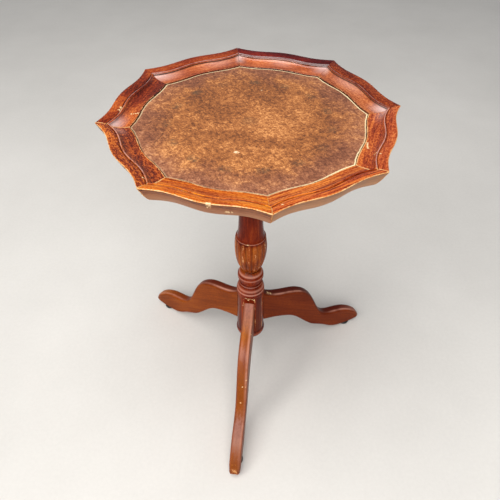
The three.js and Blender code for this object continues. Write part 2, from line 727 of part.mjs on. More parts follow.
function add(group, name, geometry, material, x = 0, y = 0, z = 0) {
  const mesh = new THREE.Mesh(geometry, material);
  mesh.name = name;
  mesh.position.set(x, y, z);
  group.add(mesh);
  return mesh;
}

const table = new THREE.Group();
const stand = new THREE.Group();
stand.position.y = PILLAR_Y;
table.add(stand);

add(stand, 'pillar', pillar(), darkMahogany);
LEG_NAMES.forEach((name, number) => {
  const place = new THREE.Group();
  place.rotation.z = legDirection(number);
  stand.add(place);
  add(place, `leg_${name}`, leg(), mahogany);
  add(place, `glide_${name}`, glide(), blackPlastic, GLIDE_REACH);
  add(place, `leg_dowel_${name}_lower`, legDowel(), beech, 0, 0, DOWEL_HEIGHTS[0]);
  add(place, `leg_dowel_${name}_upper`, legDowel(), beech, 0, 0, DOWEL_HEIGHTS[1]);
});

const head = new THREE.Group();
head.rotation.z = HEAD_TURN;
stand.add(head);

add(head, 'tilt_block', tiltBlock(), plainWood);
const wedge = add(head, 'tenon_wedge', sideCut(wedgeShape(0), 2 * WEDGE.halfLength), beech);
wedge.rotation.z = Math.PI / 2;
add(head, 'strike_plate', strikePlate(), brass);

for (const [side, hand] of [[-1, 'left'], [1, 'right']]) {
  const pin = add(head, `pivot_pin_${hand}`, pivotPin(), steel, 0, PIVOT_Y, PIVOT_Z);
  pin.rotation.z = side < 0 ? Math.PI : 0;
  const screw = add(head, `strike_screw_${hand}`, lyingAlongY(woodScrew(CATCH_SCREW)), brass);
  screw.position.set(side * STRIKE_SCREW_X, STRIKE_FACE + GAP, STRIKE_SCREW_Z);
  add(head, `bearer_${hand}`, bearer(), plainWood, side * BEARER_MIDDLE);
  BEARER_SCREW_PLACES.forEach((y, number) => {
    const name = `bearer_screw_${hand}_${number + 1}`;
    add(head, name, woodScrew(BEARER_SCREW), steel, side * BEARER_MIDDLE, y, BEARER_SCREW_HEAD + 0.1);
  });
}

for (let side = 0; side < TOP_SIDES; side += 1) {
  add(head, `rim_moulding_${side + 1}`, rimMoulding(side), mahogany);
}
const boardScrewHoles = [-1, 1].flatMap((side) => BEARER_SCREW_PLACES.map((y) => {
  return screwHole(BEARER_SCREW).translate(side * BEARER_MIDDLE, y, BEARER_SCREW_HEAD);
}));
const boardCatchHoles = catchScrewPlaces().map(([x, y]) => {
  return screwHole(CATCH_SCREW).translate(x, y, CATCH_PLATE_BOTTOM + 0.1);
});
add(head, 'top_board', cutAway(topBoard(), [...boardScrewHoles, ...boardCatchHoles]), plainWood);
add(head, 'leather_panel', leatherPanel(), tanLeather);

add(head, 'catch_plate', catchPlate(), brass);
add(head, 'catch_case', catchCase(), brass);
add(head, 'catch_bolt', catchBolt(), brass);
add(head, 'catch_knob', catchKnob(), brass);
add(head, 'catch_spring', catchSpring(), steel);
catchScrewPlaces().forEach(([x, y], number) => {
  add(head, `catch_screw_${number + 1}`, woodScrew(CATCH_SCREW), brass, x, y, CATCH_PLATE_BOTTOM + 0.3);
});

export default table;
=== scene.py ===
"""Looks of the tilt-top wine table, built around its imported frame.

Metres, +Z up. The front leg points along -Y. The block and the tray, the "head", are turned a little on
the pillar, so what belongs to them is made in the head's own frame and turned into place.
"""

import json
import math

import bpy
import numpy as np
from mathutils import Matrix, Vector


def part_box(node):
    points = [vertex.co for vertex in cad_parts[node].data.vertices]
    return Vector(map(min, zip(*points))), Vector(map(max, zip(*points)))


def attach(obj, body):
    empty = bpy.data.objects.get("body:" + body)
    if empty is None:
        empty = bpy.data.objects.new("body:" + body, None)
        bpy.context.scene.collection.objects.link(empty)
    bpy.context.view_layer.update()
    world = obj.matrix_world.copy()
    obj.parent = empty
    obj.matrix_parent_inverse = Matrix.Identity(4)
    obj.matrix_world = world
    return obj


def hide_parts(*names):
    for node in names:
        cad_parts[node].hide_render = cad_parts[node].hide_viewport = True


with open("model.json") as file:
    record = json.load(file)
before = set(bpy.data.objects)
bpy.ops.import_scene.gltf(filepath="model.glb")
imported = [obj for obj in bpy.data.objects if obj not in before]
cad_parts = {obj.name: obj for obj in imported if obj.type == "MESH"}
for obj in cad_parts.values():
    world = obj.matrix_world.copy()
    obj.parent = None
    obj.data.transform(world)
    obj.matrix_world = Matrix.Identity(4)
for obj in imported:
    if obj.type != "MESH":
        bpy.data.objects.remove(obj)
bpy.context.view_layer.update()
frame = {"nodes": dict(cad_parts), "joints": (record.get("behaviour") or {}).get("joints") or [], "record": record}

# Places and sizes taken from the frame

MM = 0.001
NODES = frame["nodes"]
TILT = next(joint for joint in frame["joints"] if joint["name"] == "top_tilt")
PILLAR_LOW, PILLAR_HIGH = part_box("pillar")
PILLAR_X = (PILLAR_LOW.x + PILLAR_HIGH.x) / 2
PILLAR_Y = (PILLAR_LOW.y + PILLAR_HIGH.y) / 2
HEAD_TURN = math.atan2(-TILT["axis"][1], -TILT["axis"][0])
STAND_FRAME = Matrix.Translation((PILLAR_X, PILLAR_Y, 0))
HEAD_FRAME = STAND_FRAME @ Matrix.Rotation(HEAD_TURN, 4, "Z")
RIM_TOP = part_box("rim_moulding_1")[1].z
RIM_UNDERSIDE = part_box("rim_moulding_1")[0].z
LEATHER_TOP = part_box("leather_panel")[1].z
LEATHER_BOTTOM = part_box("leather_panel")[0].z
PILLAR_TOP = PILLAR_HIGH.z

# Tray top: plan curves and section, in millimetres

OUTER_EDGE = {"radius": 188.4, "swell": -0.4, "wave": -2.7}
RIDGE = {"radius": 172.9, "swell": -0.8, "wave": -2.9}
PANEL_EDGE = {"radius": 148.6, "swell": 3.3, "wave": -1.4}
SIDES = 8
MITRE_GAP = 0.0015
SIDE_STEPS = 56
LEATHER_STEPS = 40
FIRST_CORNER = math.radians(202.5)
CORNER_STEP = math.tau / SIDES
BAND_WIDTHS = tuple(
    (a["radius"] - b["radius"]) * math.cos(CORNER_STEP / 2)
    for a, b in ((OUTER_EDGE, RIDGE), (RIDGE, PANEL_EDGE))
)

# Pillar, in millimetres

REEDS = 16
REED_STEPS = 20
REED_DEPTH = 1.7
FLAT_DISTANCE = 20.2
FLATS = (101, 192)
HUB_SIDE = (104, 189)
LIP_HEIGHT = 316.3
SHAFT_TOP = 481.4
TENON_RADIUS = 11.7
LEG_DIRECTIONS = {
    "front": -math.pi / 2,
    "rear_right": math.pi / 6,
    "rear_left": 5 * math.pi / 6,
}

# Legs, in millimetres

LEG_HALF_THICKNESS = 9
LEG_BACK = 20.5
LEG_REACH = 235
GLIDE_REACH = 205.6
LEG_TOP_ROUNDING = (6.5, 4)
LEG_BOTTOM_ROUNDING = (2.5, 1.5)


# Meshes


def new_object(name, vertices, faces):
    mesh = bpy.data.meshes.new(name)
    mesh.from_pydata([tuple(v) for v in vertices], [], [tuple(int(i) for i in f) for f in faces])
    mesh.validate()
    mesh.update()
    made = bpy.data.objects.new(name, mesh)
    bpy.context.scene.collection.objects.link(made)
    return made


def smooth(piece, sharp_above):
    mesh = piece.data
    mesh.polygons.foreach_set("use_smooth", [True] * len(mesh.polygons))
    mesh.set_sharp_from_angle(angle=math.radians(sharp_above))


def store(piece, name, values):
    """Keeps one number or one vector for each vertex, under a name that materials read."""
    values = np.asarray(values, np.float32)
    kind, key = ("FLOAT", "value") if values.ndim == 1 else ("FLOAT_VECTOR", "vector")
    attribute = piece.data.attributes.new(name, kind, "POINT")
    attribute.data.foreach_set(key, values.ravel())


def skin(layers, count):
    """The quads between rings of count points each."""
    return [
        (low + k, low + (k + 1) % count, low + count + (k + 1) % count, low + count + k)
        for low in range(0, (layers - 1) * count, count) for k in range(count)
    ]


def loft(name, rings, cap="face"):
    """A skin over rings of equally many points. The ends are one face each, or a ladder of quads that joins
    the ring's first half to its second."""
    rings = np.asarray(rings, float)
    layers, count = rings.shape[:2]
    faces = skin(layers, count)
    last = (layers - 1) * count
    if cap == "face":
        faces += [tuple(range(count - 1, -1, -1)), tuple(range(last, last + count))]
    else:
        for k in range(count // 2 - 1):
            rung = (k, k + 1, count - 2 - k, count - 1 - k)
            faces += [rung[::-1], tuple(last + corner for corner in rung)]
    return new_object(name, rings.reshape(-1, 3), faces)


def outward(piece):
    """Turns a closed mesh's faces outward."""
    mesh = piece.data
    mesh.calc_loop_triangles()
    places = np.array([v.co for v in mesh.vertices])
    a, b, c = places[np.array([t.vertices for t in mesh.loop_triangles])].transpose(1, 0, 2)
    if np.einsum("ij,ij->i", a, np.cross(b, c)).sum() < 0:
        mesh.flip_normals()


def lathe(name, profile, segments):
    """A solid turned about +Z, from (radius, height) points that start and end on the axis."""
    turns = np.arange(segments) * math.tau / segments
    circle = np.stack([np.cos(turns), np.sin(turns)], 1)
    vertices = [(r * x, r * y, z) for r, z in profile[1:-1] for x, y in circle]
    count = len(vertices)
    vertices += [(0, 0, profile[0][1]), (0, 0, profile[-1][1])]
    faces = skin(len(profile) - 2, segments)
    last = count - segments
    for k in range(segments):
        after = (k + 1) % segments
        faces += [(count, after, k), (count + 1, last + k, last + after)]
    return new_object(name, vertices, faces)


def place(piece, matrix):
    piece.data.transform(matrix)
    outward(piece)


def through(points, steps):
    """A smooth line through points, with that many steps between each two."""
    points = np.asarray(points, float)
    padded = np.concatenate([[2 * points[0] - points[1]], points, [2 * points[-1] - points[-2]]])
    line = []
    for k in range(len(points) - 1):
        p0, p1, p2, p3 = padded[k : k + 4]
        for step in range(steps):
            t = step / steps
            line.append(0.5 * (
                2 * p1 + (p2 - p0) * t + (2 * p0 - 5 * p1 + 4 * p2 - p3) * t**2
                + (3 * p1 - p0 - 3 * p2 + p3) * t**3
            ))
    return np.array([*line, points[-1]])


def quarter(start, end, steps):
    """A quarter of an ellipse between two points, which leaves the first one level."""
    turns = np.linspace(0, math.pi / 2, steps + 1)
    start, end = np.array(start, float), np.array(end, float)
    return start + (end - start) * np.stack([np.sin(turns), 1 - np.cos(turns)], 1)


def ease(x):
    x = np.clip(x, 0, 1)
    return x * x * (3 - 2 * x)


# Materials


def srgb(red, green, blue):
    return tuple((v / 255) ** 2.2 for v in (red, green, blue)) + (1.0,)


class Paint:
    """A material's nodes. Most methods add nodes and give back the socket that carries the result."""

    def __init__(self, name, roughness, metallic=0.0, coat=0.0, sheen=0.0, specular=0.5):
        self.material = bpy.data.materials.new(name)
        self.material.use_nodes = True
        self.tree = self.material.node_tree
        self.shader = self.tree.nodes["Principled BSDF"]
        settings = {
            "Roughness": roughness,
            "Metallic": metallic,
            "Coat Weight": coat,
            "Coat Roughness": 0.1,
            "Sheen Weight": sheen,
            "Specular IOR Level": specular,
        }
        for socket, value in settings.items():
            self.shader.inputs[socket].default_value = value

    def node(self, kind, inputs=(), **settings):
        made = self.tree.nodes.new(kind)
        for key, value in settings.items():
            setattr(made, key, value)
        for key, value in dict(inputs).items():
            if isinstance(value, bpy.types.NodeSocket):
                self.tree.links.new(value, made.inputs[key])
            else:
                made.inputs[key].default_value = value
        return made

    def object_place(self):
        return self.node("ShaderNodeTexCoord").outputs["Object"]

    def kept(self, name, out="Fac"):
        return self.node("ShaderNodeAttribute", attribute_name=name).outputs[out]

    def moved(self, vector, scale=(1, 1, 1), turn=(0, 0, 0), shift=(0, 0, 0)):
        inputs = {"Vector": vector, "Scale": scale, "Rotation": turn, "Location": shift}
        return self.node("ShaderNodeMapping", inputs).outputs["Vector"]

    def noise(self, vector, scale, detail=3.0, roughness=0.5, distortion=0.0):
        inputs = {
            "Vector": vector, "Scale": scale, "Detail": detail,
            "Roughness": roughness, "Distortion": distortion,
        }
        return self.node("ShaderNodeTexNoise", inputs).outputs["Fac"]

    def cells(self, vector, scale):
        inputs = {"Vector": vector, "Scale": scale}
        made = self.node("ShaderNodeTexVoronoi", inputs, feature="DISTANCE_TO_EDGE")
        return made.outputs["Distance"]

    def math(self, operation, a, b=0.0, c=0.0):
        return self.node("ShaderNodeMath", {0: a, 1: b, 2: c}, operation=operation).outputs[0]

    def add(self, *values):
        total = values[0]
        for value in values[1:]:
            total = self.math("ADD", total, value)
        return total

    def times(self, a, b):
        return self.math("MULTIPLY", a, b)

    def fade(self, value, low, high, to_low=0.0, to_high=1.0):
        inputs = {"Value": value, "From Min": low, "From Max": high, "To Min": to_low, "To Max": to_high}
        return self.node("ShaderNodeMapRange", inputs, interpolation_type="SMOOTHSTEP").outputs[0]

    def ramp(self, value, *stops):
        """The stops are a position and a colour each."""
        made = self.node("ShaderNodeValToRGB", {"Fac": value})
        ends = made.color_ramp.elements
        while len(ends) < len(stops):
            ends.new(0.5)
        for end, (position, colour) in zip(ends, stops):
            end.position = position
            end.color = srgb(*colour)
        return made.outputs["Color"]

    def mix(self, share, a, b):
        inputs = {0: share, 6: a, 7: b}
        return self.node("ShaderNodeMix", inputs, data_type="RGBA", clamp_factor=True).outputs[2]

    def distance(self, vector, point):
        inputs = {0: vector, 1: point}
        return self.node("ShaderNodeVectorMath", inputs, operation="DISTANCE").outputs["Value"]

    def finish(self, colour, height=None, depth=0.0002, strength=0.5, roughness=None):
        self.tree.links.new(colour, self.shader.inputs["Base Color"])
        if roughness is not None:
            self.tree.links.new(roughness, self.shader.inputs["Roughness"])
        if height is not None:
            inputs = {"Height": height, "Distance": depth, "Strength": strength}
            bump = self.node("ShaderNodeBump", inputs)
            self.tree.links.new(bump.outputs["Normal"], self.shader.inputs["Normal"])
            self.tree.links.new(bump.outputs["Normal"], self.shader.inputs["Coat Normal"])
        return self.material


PALE_WOOD = srgb(218, 164, 104)
GESSO = srgb(240, 210, 164)
# Dark brown for painted shade in grooves and hollows
PAINTED_SHADE_COLOUR = srgb(30, 9, 8)


def tones(*colours):
    """Three colours, from dark to light, as the stops of a ramp."""
    return tuple(zip((0.0, 0.5, 1.0), colours))


def mahogany(name, grain, colours, recolour, fleck, streak, patch, pores, gloss, coat, specular,
             wear_width=1.0, with_painted_shade=True, chips=(), chip_depth=1.0, dull=None):
    """Polished mahogany, from a dark, a middle and a light colour.

    grain(paint) gives the place, with the grain along its x. recolour(paint, colour, tone) repaints parts of
    the piece, and dull(paint) is 1 where it was left unpolished. The mesh keeps each point's distance from
    the nearest worn edge, in millimetres, as "edge", and, under a second name, how much shade is painted into
    its grooves and hollows. Chips are places and sizes, and chip_depth is how much a difference in height
    counts.
    """
    paint = Paint(name, gloss, coat=coat, specular=specular)
    at = grain(paint)
    broad = paint.noise(paint.moved(at, (0.4, 1, 1)), 30, 2, 0.5)
    fibre = paint.noise(paint.moved(at, (0.04, 1, 1)), 380, 4, 0.6, 0.25)
    pore = paint.noise(paint.moved(at, (0.07, 1, 1)), 1500, 2, 0.5)
    crackle = paint.noise(paint.moved(at, (0.5, 1, 1)), 540, 4, 0.62, 0.4)
    tone = paint.add(
        paint.fade(broad, 0.3, 0.7, -patch, patch),
        paint.fade(fibre, 0.34, 0.66, -streak, streak),
        paint.fade(crackle, 0.38, 0.62, -fleck, fleck),
        0.5,
    )
    colour = recolour(paint, paint.ramp(tone, *tones(*colours)), tone)
    colour = paint.mix(paint.fade(pore, 0.62, 0.74, 0, pores), colour, srgb(*colours[0]))
    # Painted shade in the grooves and hollows that the mesh marks
    if with_painted_shade:
        colour = paint.mix(paint.kept("painted_shade"), colour, PAINTED_SHADE_COLOUR)
    ragged_edge = paint.noise(at, 420, 4, 0.7)
    worn_stretch = paint.noise(at, 70, 2, 0.5)
    distance = paint.times(1 / wear_width, paint.add(
        paint.kept("edge"),
        paint.fade(ragged_edge, 0.25, 0.75, -0.45, 0.45),
        paint.fade(worn_stretch, 0.3, 0.7, -0.25, 0.45),
    ))
    colour = paint.mix(paint.fade(distance, 1.0, 0.5, 0, 0.6), colour, srgb(*colours[2]))
    colour = paint.mix(paint.fade(distance, 0.6, 0.35, 0, 1), colour, PALE_WOOD)
    colour = paint.mix(paint.fade(distance, 0.25, 0.0, 0, 0.4), colour, GESSO)
    for point, size in chips:
        ragged = paint.fade(paint.noise(at, 700, 3, 0.7), 0.2, 0.8, -0.8 * size, 0.8 * size)
        flattened = paint.moved(paint.object_place(), (1, 1, chip_depth))
        near = paint.distance(flattened, (point[0], point[1], point[2] * chip_depth))
        near = paint.add(near, ragged)
        colour = paint.mix(paint.fade(near, size, 0.75 * size), colour, PALE_WOOD)
        colour = paint.mix(paint.fade(near, 0.75 * size, 0.4 * size), colour, GESSO)
    height = paint.add(
        paint.times(crackle, 0.6 * fleck + 0.06),
        paint.times(fibre, 0.12),
        paint.fade(pore, 0.62, 0.74, 0, -0.15),
    )
    roughness = paint.fade(crackle, 0.3, 0.7, gloss - 0.04, gloss + 0.1)
    if dull is not None:
        unpolished = dull(paint)
        roughness = paint.add(roughness, paint.times(unpolished, 0.3))
        coat_left = paint.fade(unpolished, 0, 1, coat, 0.15 * coat)
        paint.tree.links.new(coat_left, paint.shader.inputs["Coat Weight"])
    return paint.finish(colour, height, 0.00025, 0.3, roughness)


def kept_grain(paint):
    return paint.kept("grain", "Vector")


# The eight rim mouldings in turn: the tones of the crown, those of the cove, and where along the cove a
# milky reflection is painted, as places, half widths and how much
RIM_COLOURS = (
    (((66, 18, 7), (136, 50, 18), (206, 104, 38)), ((70, 18, 8), (134, 50, 20), (206, 108, 46)),
     ((0.02, 0.13, 0.75),)),
    (((70, 22, 11), (134, 52, 24), (184, 96, 46)), ((108, 40, 20), (170, 84, 46), (214, 132, 80)),
     ((0.03, 0.2, 0.6), (0.75, 0.18, 0.25), (1.0, 0.04, 0.7))),
    (((40, 8, 10), (82, 18, 17), (126, 40, 28)), ((110, 46, 24), (180, 92, 52), (218, 138, 90)),
     ((0.0, 0.06, 0.7), (0.5, 0.12, 0.3), (0.97, 0.08, 0.55))),
    (((60, 18, 9), (112, 42, 18), (176, 86, 36)), ((108, 44, 22), (166, 86, 46), (208, 126, 74)),
     ((0.0, 0.06, 0.6), (0.4, 0.2, 0.25), (0.97, 0.1, 0.8))),
    (((104, 34, 14), (162, 68, 30), (216, 120, 60)), ((92, 32, 14), (150, 60, 26), (214, 116, 50)),
     ((0.03, 0.12, 0.35),)),
    (((98, 30, 11), (172, 70, 24), (220, 120, 46)), ((96, 32, 14), (164, 72, 28), (214, 124, 50)), ()),
    (((128, 46, 10), (190, 88, 18), (232, 138, 34)), ((118, 44, 11), (182, 84, 20), (226, 134, 36)), ()),
    (((70, 19, 7), (142, 56, 18), (222, 122, 44)), ((64, 19, 9), (124, 48, 20), (196, 98, 38)),
     ((0.92, 0.06, 0.3),)),
)
# How flecked, streaked and patchy each moulding's polish is, how strong the painted highlight on the bead's
# top, how dark the painted shade in the corners beside the bead ("quirk", "drop") and beside the leather
# ("lip"), how wide the worn edges, how rough the polish and how much paler the outer face
RIM_AMOUNTS = {
    "fleck": (0.2, 0.14, 0.14, 0.2, 0.22, 0.14, 0.14, 0.32),
    "streak": (0.12, 0.14, 0.14, 0.12, 0.2, 0.4, 0.34, 0.14),
    "patch": (0.3, 0.22, 0.24, 0.24, 0.14, 0.22, 0.22, 0.16),
    "bead": (0.35, 0.8, 0.85, 0.3, 0.5, 0.0, 0.0, 0.45),
    "quirk": (1.0, 0.5, 0.9, 0.5, 0.5, 0.7, 0.75, 0.6),
    "drop": (0.3, 1.0, 0.9, 0.9, 0.2, 0.4, 0.4, 0.2),
    "lip": (0.95, 0.9, 0.6, 0.9, 0.5, 0.6, 0.3, 0.3),
    "wear_width": (0.85, 0.3, 0.2, 0.45, 1.5, 1.15, 1.15, 1.3),
    "gloss": (0.18, 0.2, 0.18, 0.22, 0.24, 0.26, 0.26, 0.24),
    "pale_face": (0, 0, 0, 0, 0, 0.35, 0, 0),
}
RIM_FINISHES = [
    {"crown": crown, "cove": cove, "painted_sheen": painted_sheen, **{key: each[k] for key, each in RIM_AMOUNTS.items()}}
    for k, (crown, cove, painted_sheen) in enumerate(RIM_COLOURS)
]
# How far back the wear stops at each mitre, in millimetres. Corner 0 is on the left.
MITRE_WEAR = (-0.35, 0.6, 0.0, 0.6, 0.2, -0.25, -0.05, -0.3)
# Painted highlight colour for the rim's beads and coves
HIGHLIGHT_LILAC = srgb(206, 178, 172)
# Painted highlight colour for the turning and the legs' tops
HIGHLIGHT_ROSE = srgb(222, 156, 132)
PALE_FACE = srgb(226, 170, 124)
# The outer face's tones, from its top down: painted shade just under the arris, then paler towards the lower edge
# as a painted reflection of the floor
FACE_PAINTED_LIGHT = (
    (0.0, (78, 34, 16)), (0.12, (116, 62, 33)), (0.45, (152, 92, 56)), (0.9, (174, 116, 78)),
)


def rim_face(paint):
    """1 on the rim's outer face and underside, 0 elsewhere."""
    return paint.fade(paint.kept("face"), 0.01, 0.03)


def rim_material(number, chips):
    finish = RIM_FINISHES[number - 1]

    def recolour(paint, crown, tone):
        colour = paint.mix(paint.kept("cove"), crown, paint.ramp(tone, *tones(*finish["cove"])))
        uneven = paint.fade(paint.noise(kept_grain(paint), 55, 2, 0.5), 0.3, 0.6, 0.35, 1.0)
        # Painted highlight along the bead's top
        bead = paint.fade(paint.kept("bead"), 0.85, 0.35, 0, finish["bead"])
        colour = paint.mix(paint.times(bead, uneven), colour, HIGHLIGHT_LILAC)
        # Painted milky reflection on the cove
        colour = paint.mix(paint.kept("painted_sheen"), colour, HIGHLIGHT_LILAC)
        # The outer face: painted shade under the arris and a painted reflection of the floor lower down
        face_light = paint.add(paint.kept("face"), paint.fade(tone, 0.2, 0.8, -0.2, 0.16))
        face = paint.mix(finish["pale_face"], paint.ramp(face_light, *FACE_PAINTED_LIGHT), PALE_FACE)
        return paint.mix(rim_face(paint), colour, face)

    amounts = {key: finish[key] for key in ("fleck", "streak", "patch", "wear_width", "gloss")}
    return mahogany(
        f"mahogany_rim_{number}", kept_grain, finish["crown"], recolour, pores=0.4, coat=0.5,
        specular=0.3, chips=chips, chip_depth=0.15, dull=rim_face, **amounts,
    )


# Marks on the leather, in the head's frame: bare spots as places, sizes and colours, the ends of the
# scratch, and the ring of worn tooling
LEATHER_SPOTS = [
    ((0.0018, -0.0694, 0.5101), 0.0024, srgb(238, 205, 165)),
    ((0.0048, -0.0690, 0.5101), 0.0015, srgb(226, 184, 140)),
    ((-0.0085, 0.0785, 0.5101), 0.0012, srgb(226, 190, 150)),
]
SCRATCH = ((-0.0951, -0.0832), (-0.0948, -0.0543))
TOOLING_SHIFT = (0.0012, 0.0022, 0)
TOOLING_RADIUS = 0.1015
TOOLING_MOTIFS = 15
TOOLING_TURN = math.radians(6.6)


def in_head_frame(paint):
    """Place on the tray, from its middle and along its own axes."""
    middle = (PILLAR_X, PILLAR_Y, 0)
    at = paint.node("ShaderNodeVectorMath", {0: paint.object_place(), 1: middle}, operation="SUBTRACT")
    return paint.moved(at.outputs[0], turn=(0, 0, -HEAD_TURN))


def leather_material():
    """Tan hide, mottled with short strokes and pinker towards the rim, with its marks."""
    paint = Paint("tan_leather", 0.55, sheen=0.08, specular=0.28)
    at = in_head_frame(paint)
    plain = paint.node("ShaderNodeSeparateXYZ", {0: at}).outputs
    cloud = paint.noise(at, 17, 4, 0.6, 0.4)
    patch = paint.noise(at, 130, 5, 0.68, 0.5)
    strokes, cross = (
        paint.noise(paint.moved(paint.moved(at, turn=(0, 0, turn)), (0.45, 1, 1)), 400, 4, 0.7, 1.0)
        for turn in (0.75, -0.7)
    )
    speck = paint.noise(at, 800, 3, 0.6)
    mottling = ((cloud, 0.17), (patch, 0.14), (strokes, 0.22), (cross, 0.21), (speck, 0.14))
    tone = paint.add(
        *(paint.fade(value, 0.34, 0.66, -much, much) for value, much in mottling),
        paint.fade(plain[1], -0.09, 0.12, 0.53, 0.4),
        paint.fade(plain[0], -0.13, -0.03, -0.07, 0.0),
    )
    centre, border = (
        paint.ramp(tone, *zip((0.0, 0.35, 0.65, 1.0), colours)) for colours in (
            ((92, 54, 32), (138, 82, 44), (173, 108, 58), (222, 154, 94)),
            ((92, 54, 38), (124, 75, 52), (148, 94, 66), (186, 132, 98)),
        )
    )
    uneven = paint.add(paint.fade(cloud, 0.3, 0.7, -16, 16), paint.fade(patch, 0.3, 0.7, -8, 8))
    colour = paint.mix(paint.fade(paint.add(paint.kept("inset"), uneven), 52, 4), centre, border)
    parts = paint.node("ShaderNodeSeparateXYZ", {0: paint.moved(at, shift=TOOLING_SHIFT)}).outputs
    squares = [paint.math("POWER", part, 2.0) for part in parts[:2]]
    radius = paint.math("SQRT", paint.add(*squares))
    angle = paint.math("ARCTAN2", parts[1], parts[0])
    turn = paint.times(paint.math("SUBTRACT", angle, TOOLING_TURN), TOOLING_MOTIFS)
    motif = paint.fade(paint.math("COSINE", turn), 0.15, 0.85)
    off_ring = paint.math("ABSOLUTE", paint.math("SUBTRACT", radius, TOOLING_RADIUS))
    ring = paint.times(paint.fade(off_ring, 0.0075, 0.0025), motif)
    rosette = paint.times(paint.fade(radius, 0.016, 0.004), 0.7)
    broken = paint.fade(paint.noise(at, 240, 4, 0.75), 0.34, 0.6)
    worn_away = paint.fade(paint.noise(at, 14, 2, 0.5), 0.35, 0.6, 0.5, 1.0)
    tooling = paint.times(paint.times(paint.math("MAXIMUM", ring, rosette), broken), worn_away)
    colour = paint.mix(paint.times(tooling, 0.68), colour, srgb(68, 60, 48))
    wander = paint.fade(paint.noise(at, 60, 2, 0.5), 0.3, 0.7, -0.0012, 0.0012)
    middle_x, middle_y = ((start + end) / 2 for start, end in zip(*SCRATCH))
    aside = paint.math("ABSOLUTE", paint.add(plain[0], -middle_x, wander))
    within = paint.fade(paint.math("ABSOLUTE", paint.add(plain[1], -middle_y)), 0.0145, 0.0125)
    scratch = paint.times(paint.fade(aside, 0.0006, 0.0001, 0, 0.8), within)
    colour = paint.mix(scratch, colour, srgb(60, 34, 24))
    from_edge = paint.add(paint.kept("inset"), paint.fade(patch, 0.3, 0.7, -0.3, 0.5))
    gilt = paint.times(paint.fade(from_edge, 2.9, 2.2), paint.kept("gilt"))
    colour = paint.mix(gilt, colour, srgb(244, 224, 176))
    # Painted shade in the groove where the leather meets the rim
    colour = paint.mix(paint.fade(from_edge, 1.3, 1.0, 0, 0.8), colour, srgb(40, 20, 14))
    for spot, size, tint in LEATHER_SPOTS:
        ragged = paint.fade(paint.noise(at, 500, 3, 0.7), 0.25, 0.75, -0.6 * size, 0.6 * size)
        near = paint.add(paint.distance(at, spot), ragged)
        colour = paint.mix(paint.fade(near, size, 0.7 * size), colour, tint)
    grain = paint.cells(at, 1100)
    height = paint.add(
        paint.times(paint.fade(grain, 0.0, 0.35), 0.3),
        paint.times(patch, 0.4),
        paint.times(tooling, -0.4),
        paint.times(strokes, 0.25),
    )
    roughness = paint.fade(paint.add(cloud, patch), 0.75, 1.25, 0.5, 0.7)
    return paint.finish(colour, height, 0.0002, 0.35, roughness)


def head_grain(paint):
    """Place in the head's frame, so that the grain of its boards runs along the bearers."""
    return paint.moved(paint.object_place(), turn=(0, 0, math.pi / 2 - HEAD_TURN))


def plain_wood(name, dark, light, roughness):
    paint = Paint(name, roughness, specular=0.35)
    at = head_grain(paint)
    broad = paint.noise(paint.moved(at, (0.2, 1, 1)), 40, 3, 0.5)
    fibre = paint.noise(paint.moved(at, (0.03, 1, 1)), 500, 4, 0.6, 0.2)
    pores = paint.noise(paint.moved(at, (0.06, 1, 1)), 1600, 2, 0.5)
    tone = paint.add(paint.fade(broad, 0.3, 0.7, -0.2, 0.2), paint.fade(fibre, 0.3, 0.7, -0.3, 0.3), 0.5)
    colour = paint.ramp(tone, (0.0, dark), (1.0, light))
    colour = paint.mix(paint.fade(pores, 0.58, 0.7, 0, 0.5), colour, srgb(*dark))
    height = paint.add(paint.times(fibre, 0.6), paint.fade(pores, 0.58, 0.7, 0, -0.4))
    uneven = paint.fade(fibre, 0.3, 0.7, roughness - 0.08, roughness + 0.1)
    return paint.finish(colour, height, 0.0003, 0.5, uneven)


def metal(name, bright, dull, roughness):
    """Old metal: brushed fine, tarnished in clouds and rubbed bright here and there."""
    paint = Paint(name, roughness, metallic=1.0)
    at = paint.object_place()
    cloud = paint.noise(at, 130, 4, 0.65)
    brushed = paint.noise(paint.moved(at, (1, 0.06, 1)), 2600, 2, 0.5)
    share = paint.add(paint.fade(cloud, 0.35, 0.65, 0, 0.9), paint.fade(brushed, 0.3, 0.7, -0.1, 0.1))
    colour = paint.mix(share, bright, dull)
    height = paint.add(paint.times(brushed, 0.4), paint.times(cloud, 0.4))
    uneven = paint.fade(cloud, 0.3, 0.7, roughness - 0.08, roughness + 0.2)
    return paint.finish(colour, height, 0.00008, 0.4, uneven)


def glide_material():
    paint = Paint("black_glide", 0.42, specular=0.4)
    at = paint.object_place()
    scuffs = paint.noise(at, 900, 4, 0.7)
    dust = paint.noise(at, 180, 3, 0.6)
    colour = paint.mix(paint.fade(scuffs, 0.55, 0.75, 0, 0.6), srgb(26, 25, 25), srgb(92, 86, 80))
    colour = paint.mix(paint.fade(dust, 0.45, 0.7, 0, 0.3), colour, srgb(120, 110, 98))
    return paint.finish(colour, scuffs, 0.0001, 0.4, paint.fade(dust, 0.3, 0.7, 0.36, 0.6))


# Tray top


def bulge(curve, along):
    return curve["swell"] * np.sin(math.pi * along) + curve["wave"] * np.sin(3 * math.pi * along)


def corner(radius, number):
    angle = FIRST_CORNER - number * CORNER_STEP
    return np.array([radius * math.cos(angle), radius * math.sin(angle)])


def on_side(curve, side, along):
    start, end = corner(curve["radius"], side), corner(curve["radius"], side + 1)
    out = (start + end) / np.linalg.norm(start + end)
    return start + (end - start) * along + out * bulge(curve, along)


def on_band(band, side, along):
    """Band 0 is the outer edge, 1 the ridge and 2 the leather's edge."""
    first, second = (OUTER_EDGE, RIDGE) if band < 1 else (RIDGE, PANEL_EDGE)
    share = band if band < 1 else band - 1
    return on_side(first, side, along) * (1 - share) + on_side(second, side, along) * share


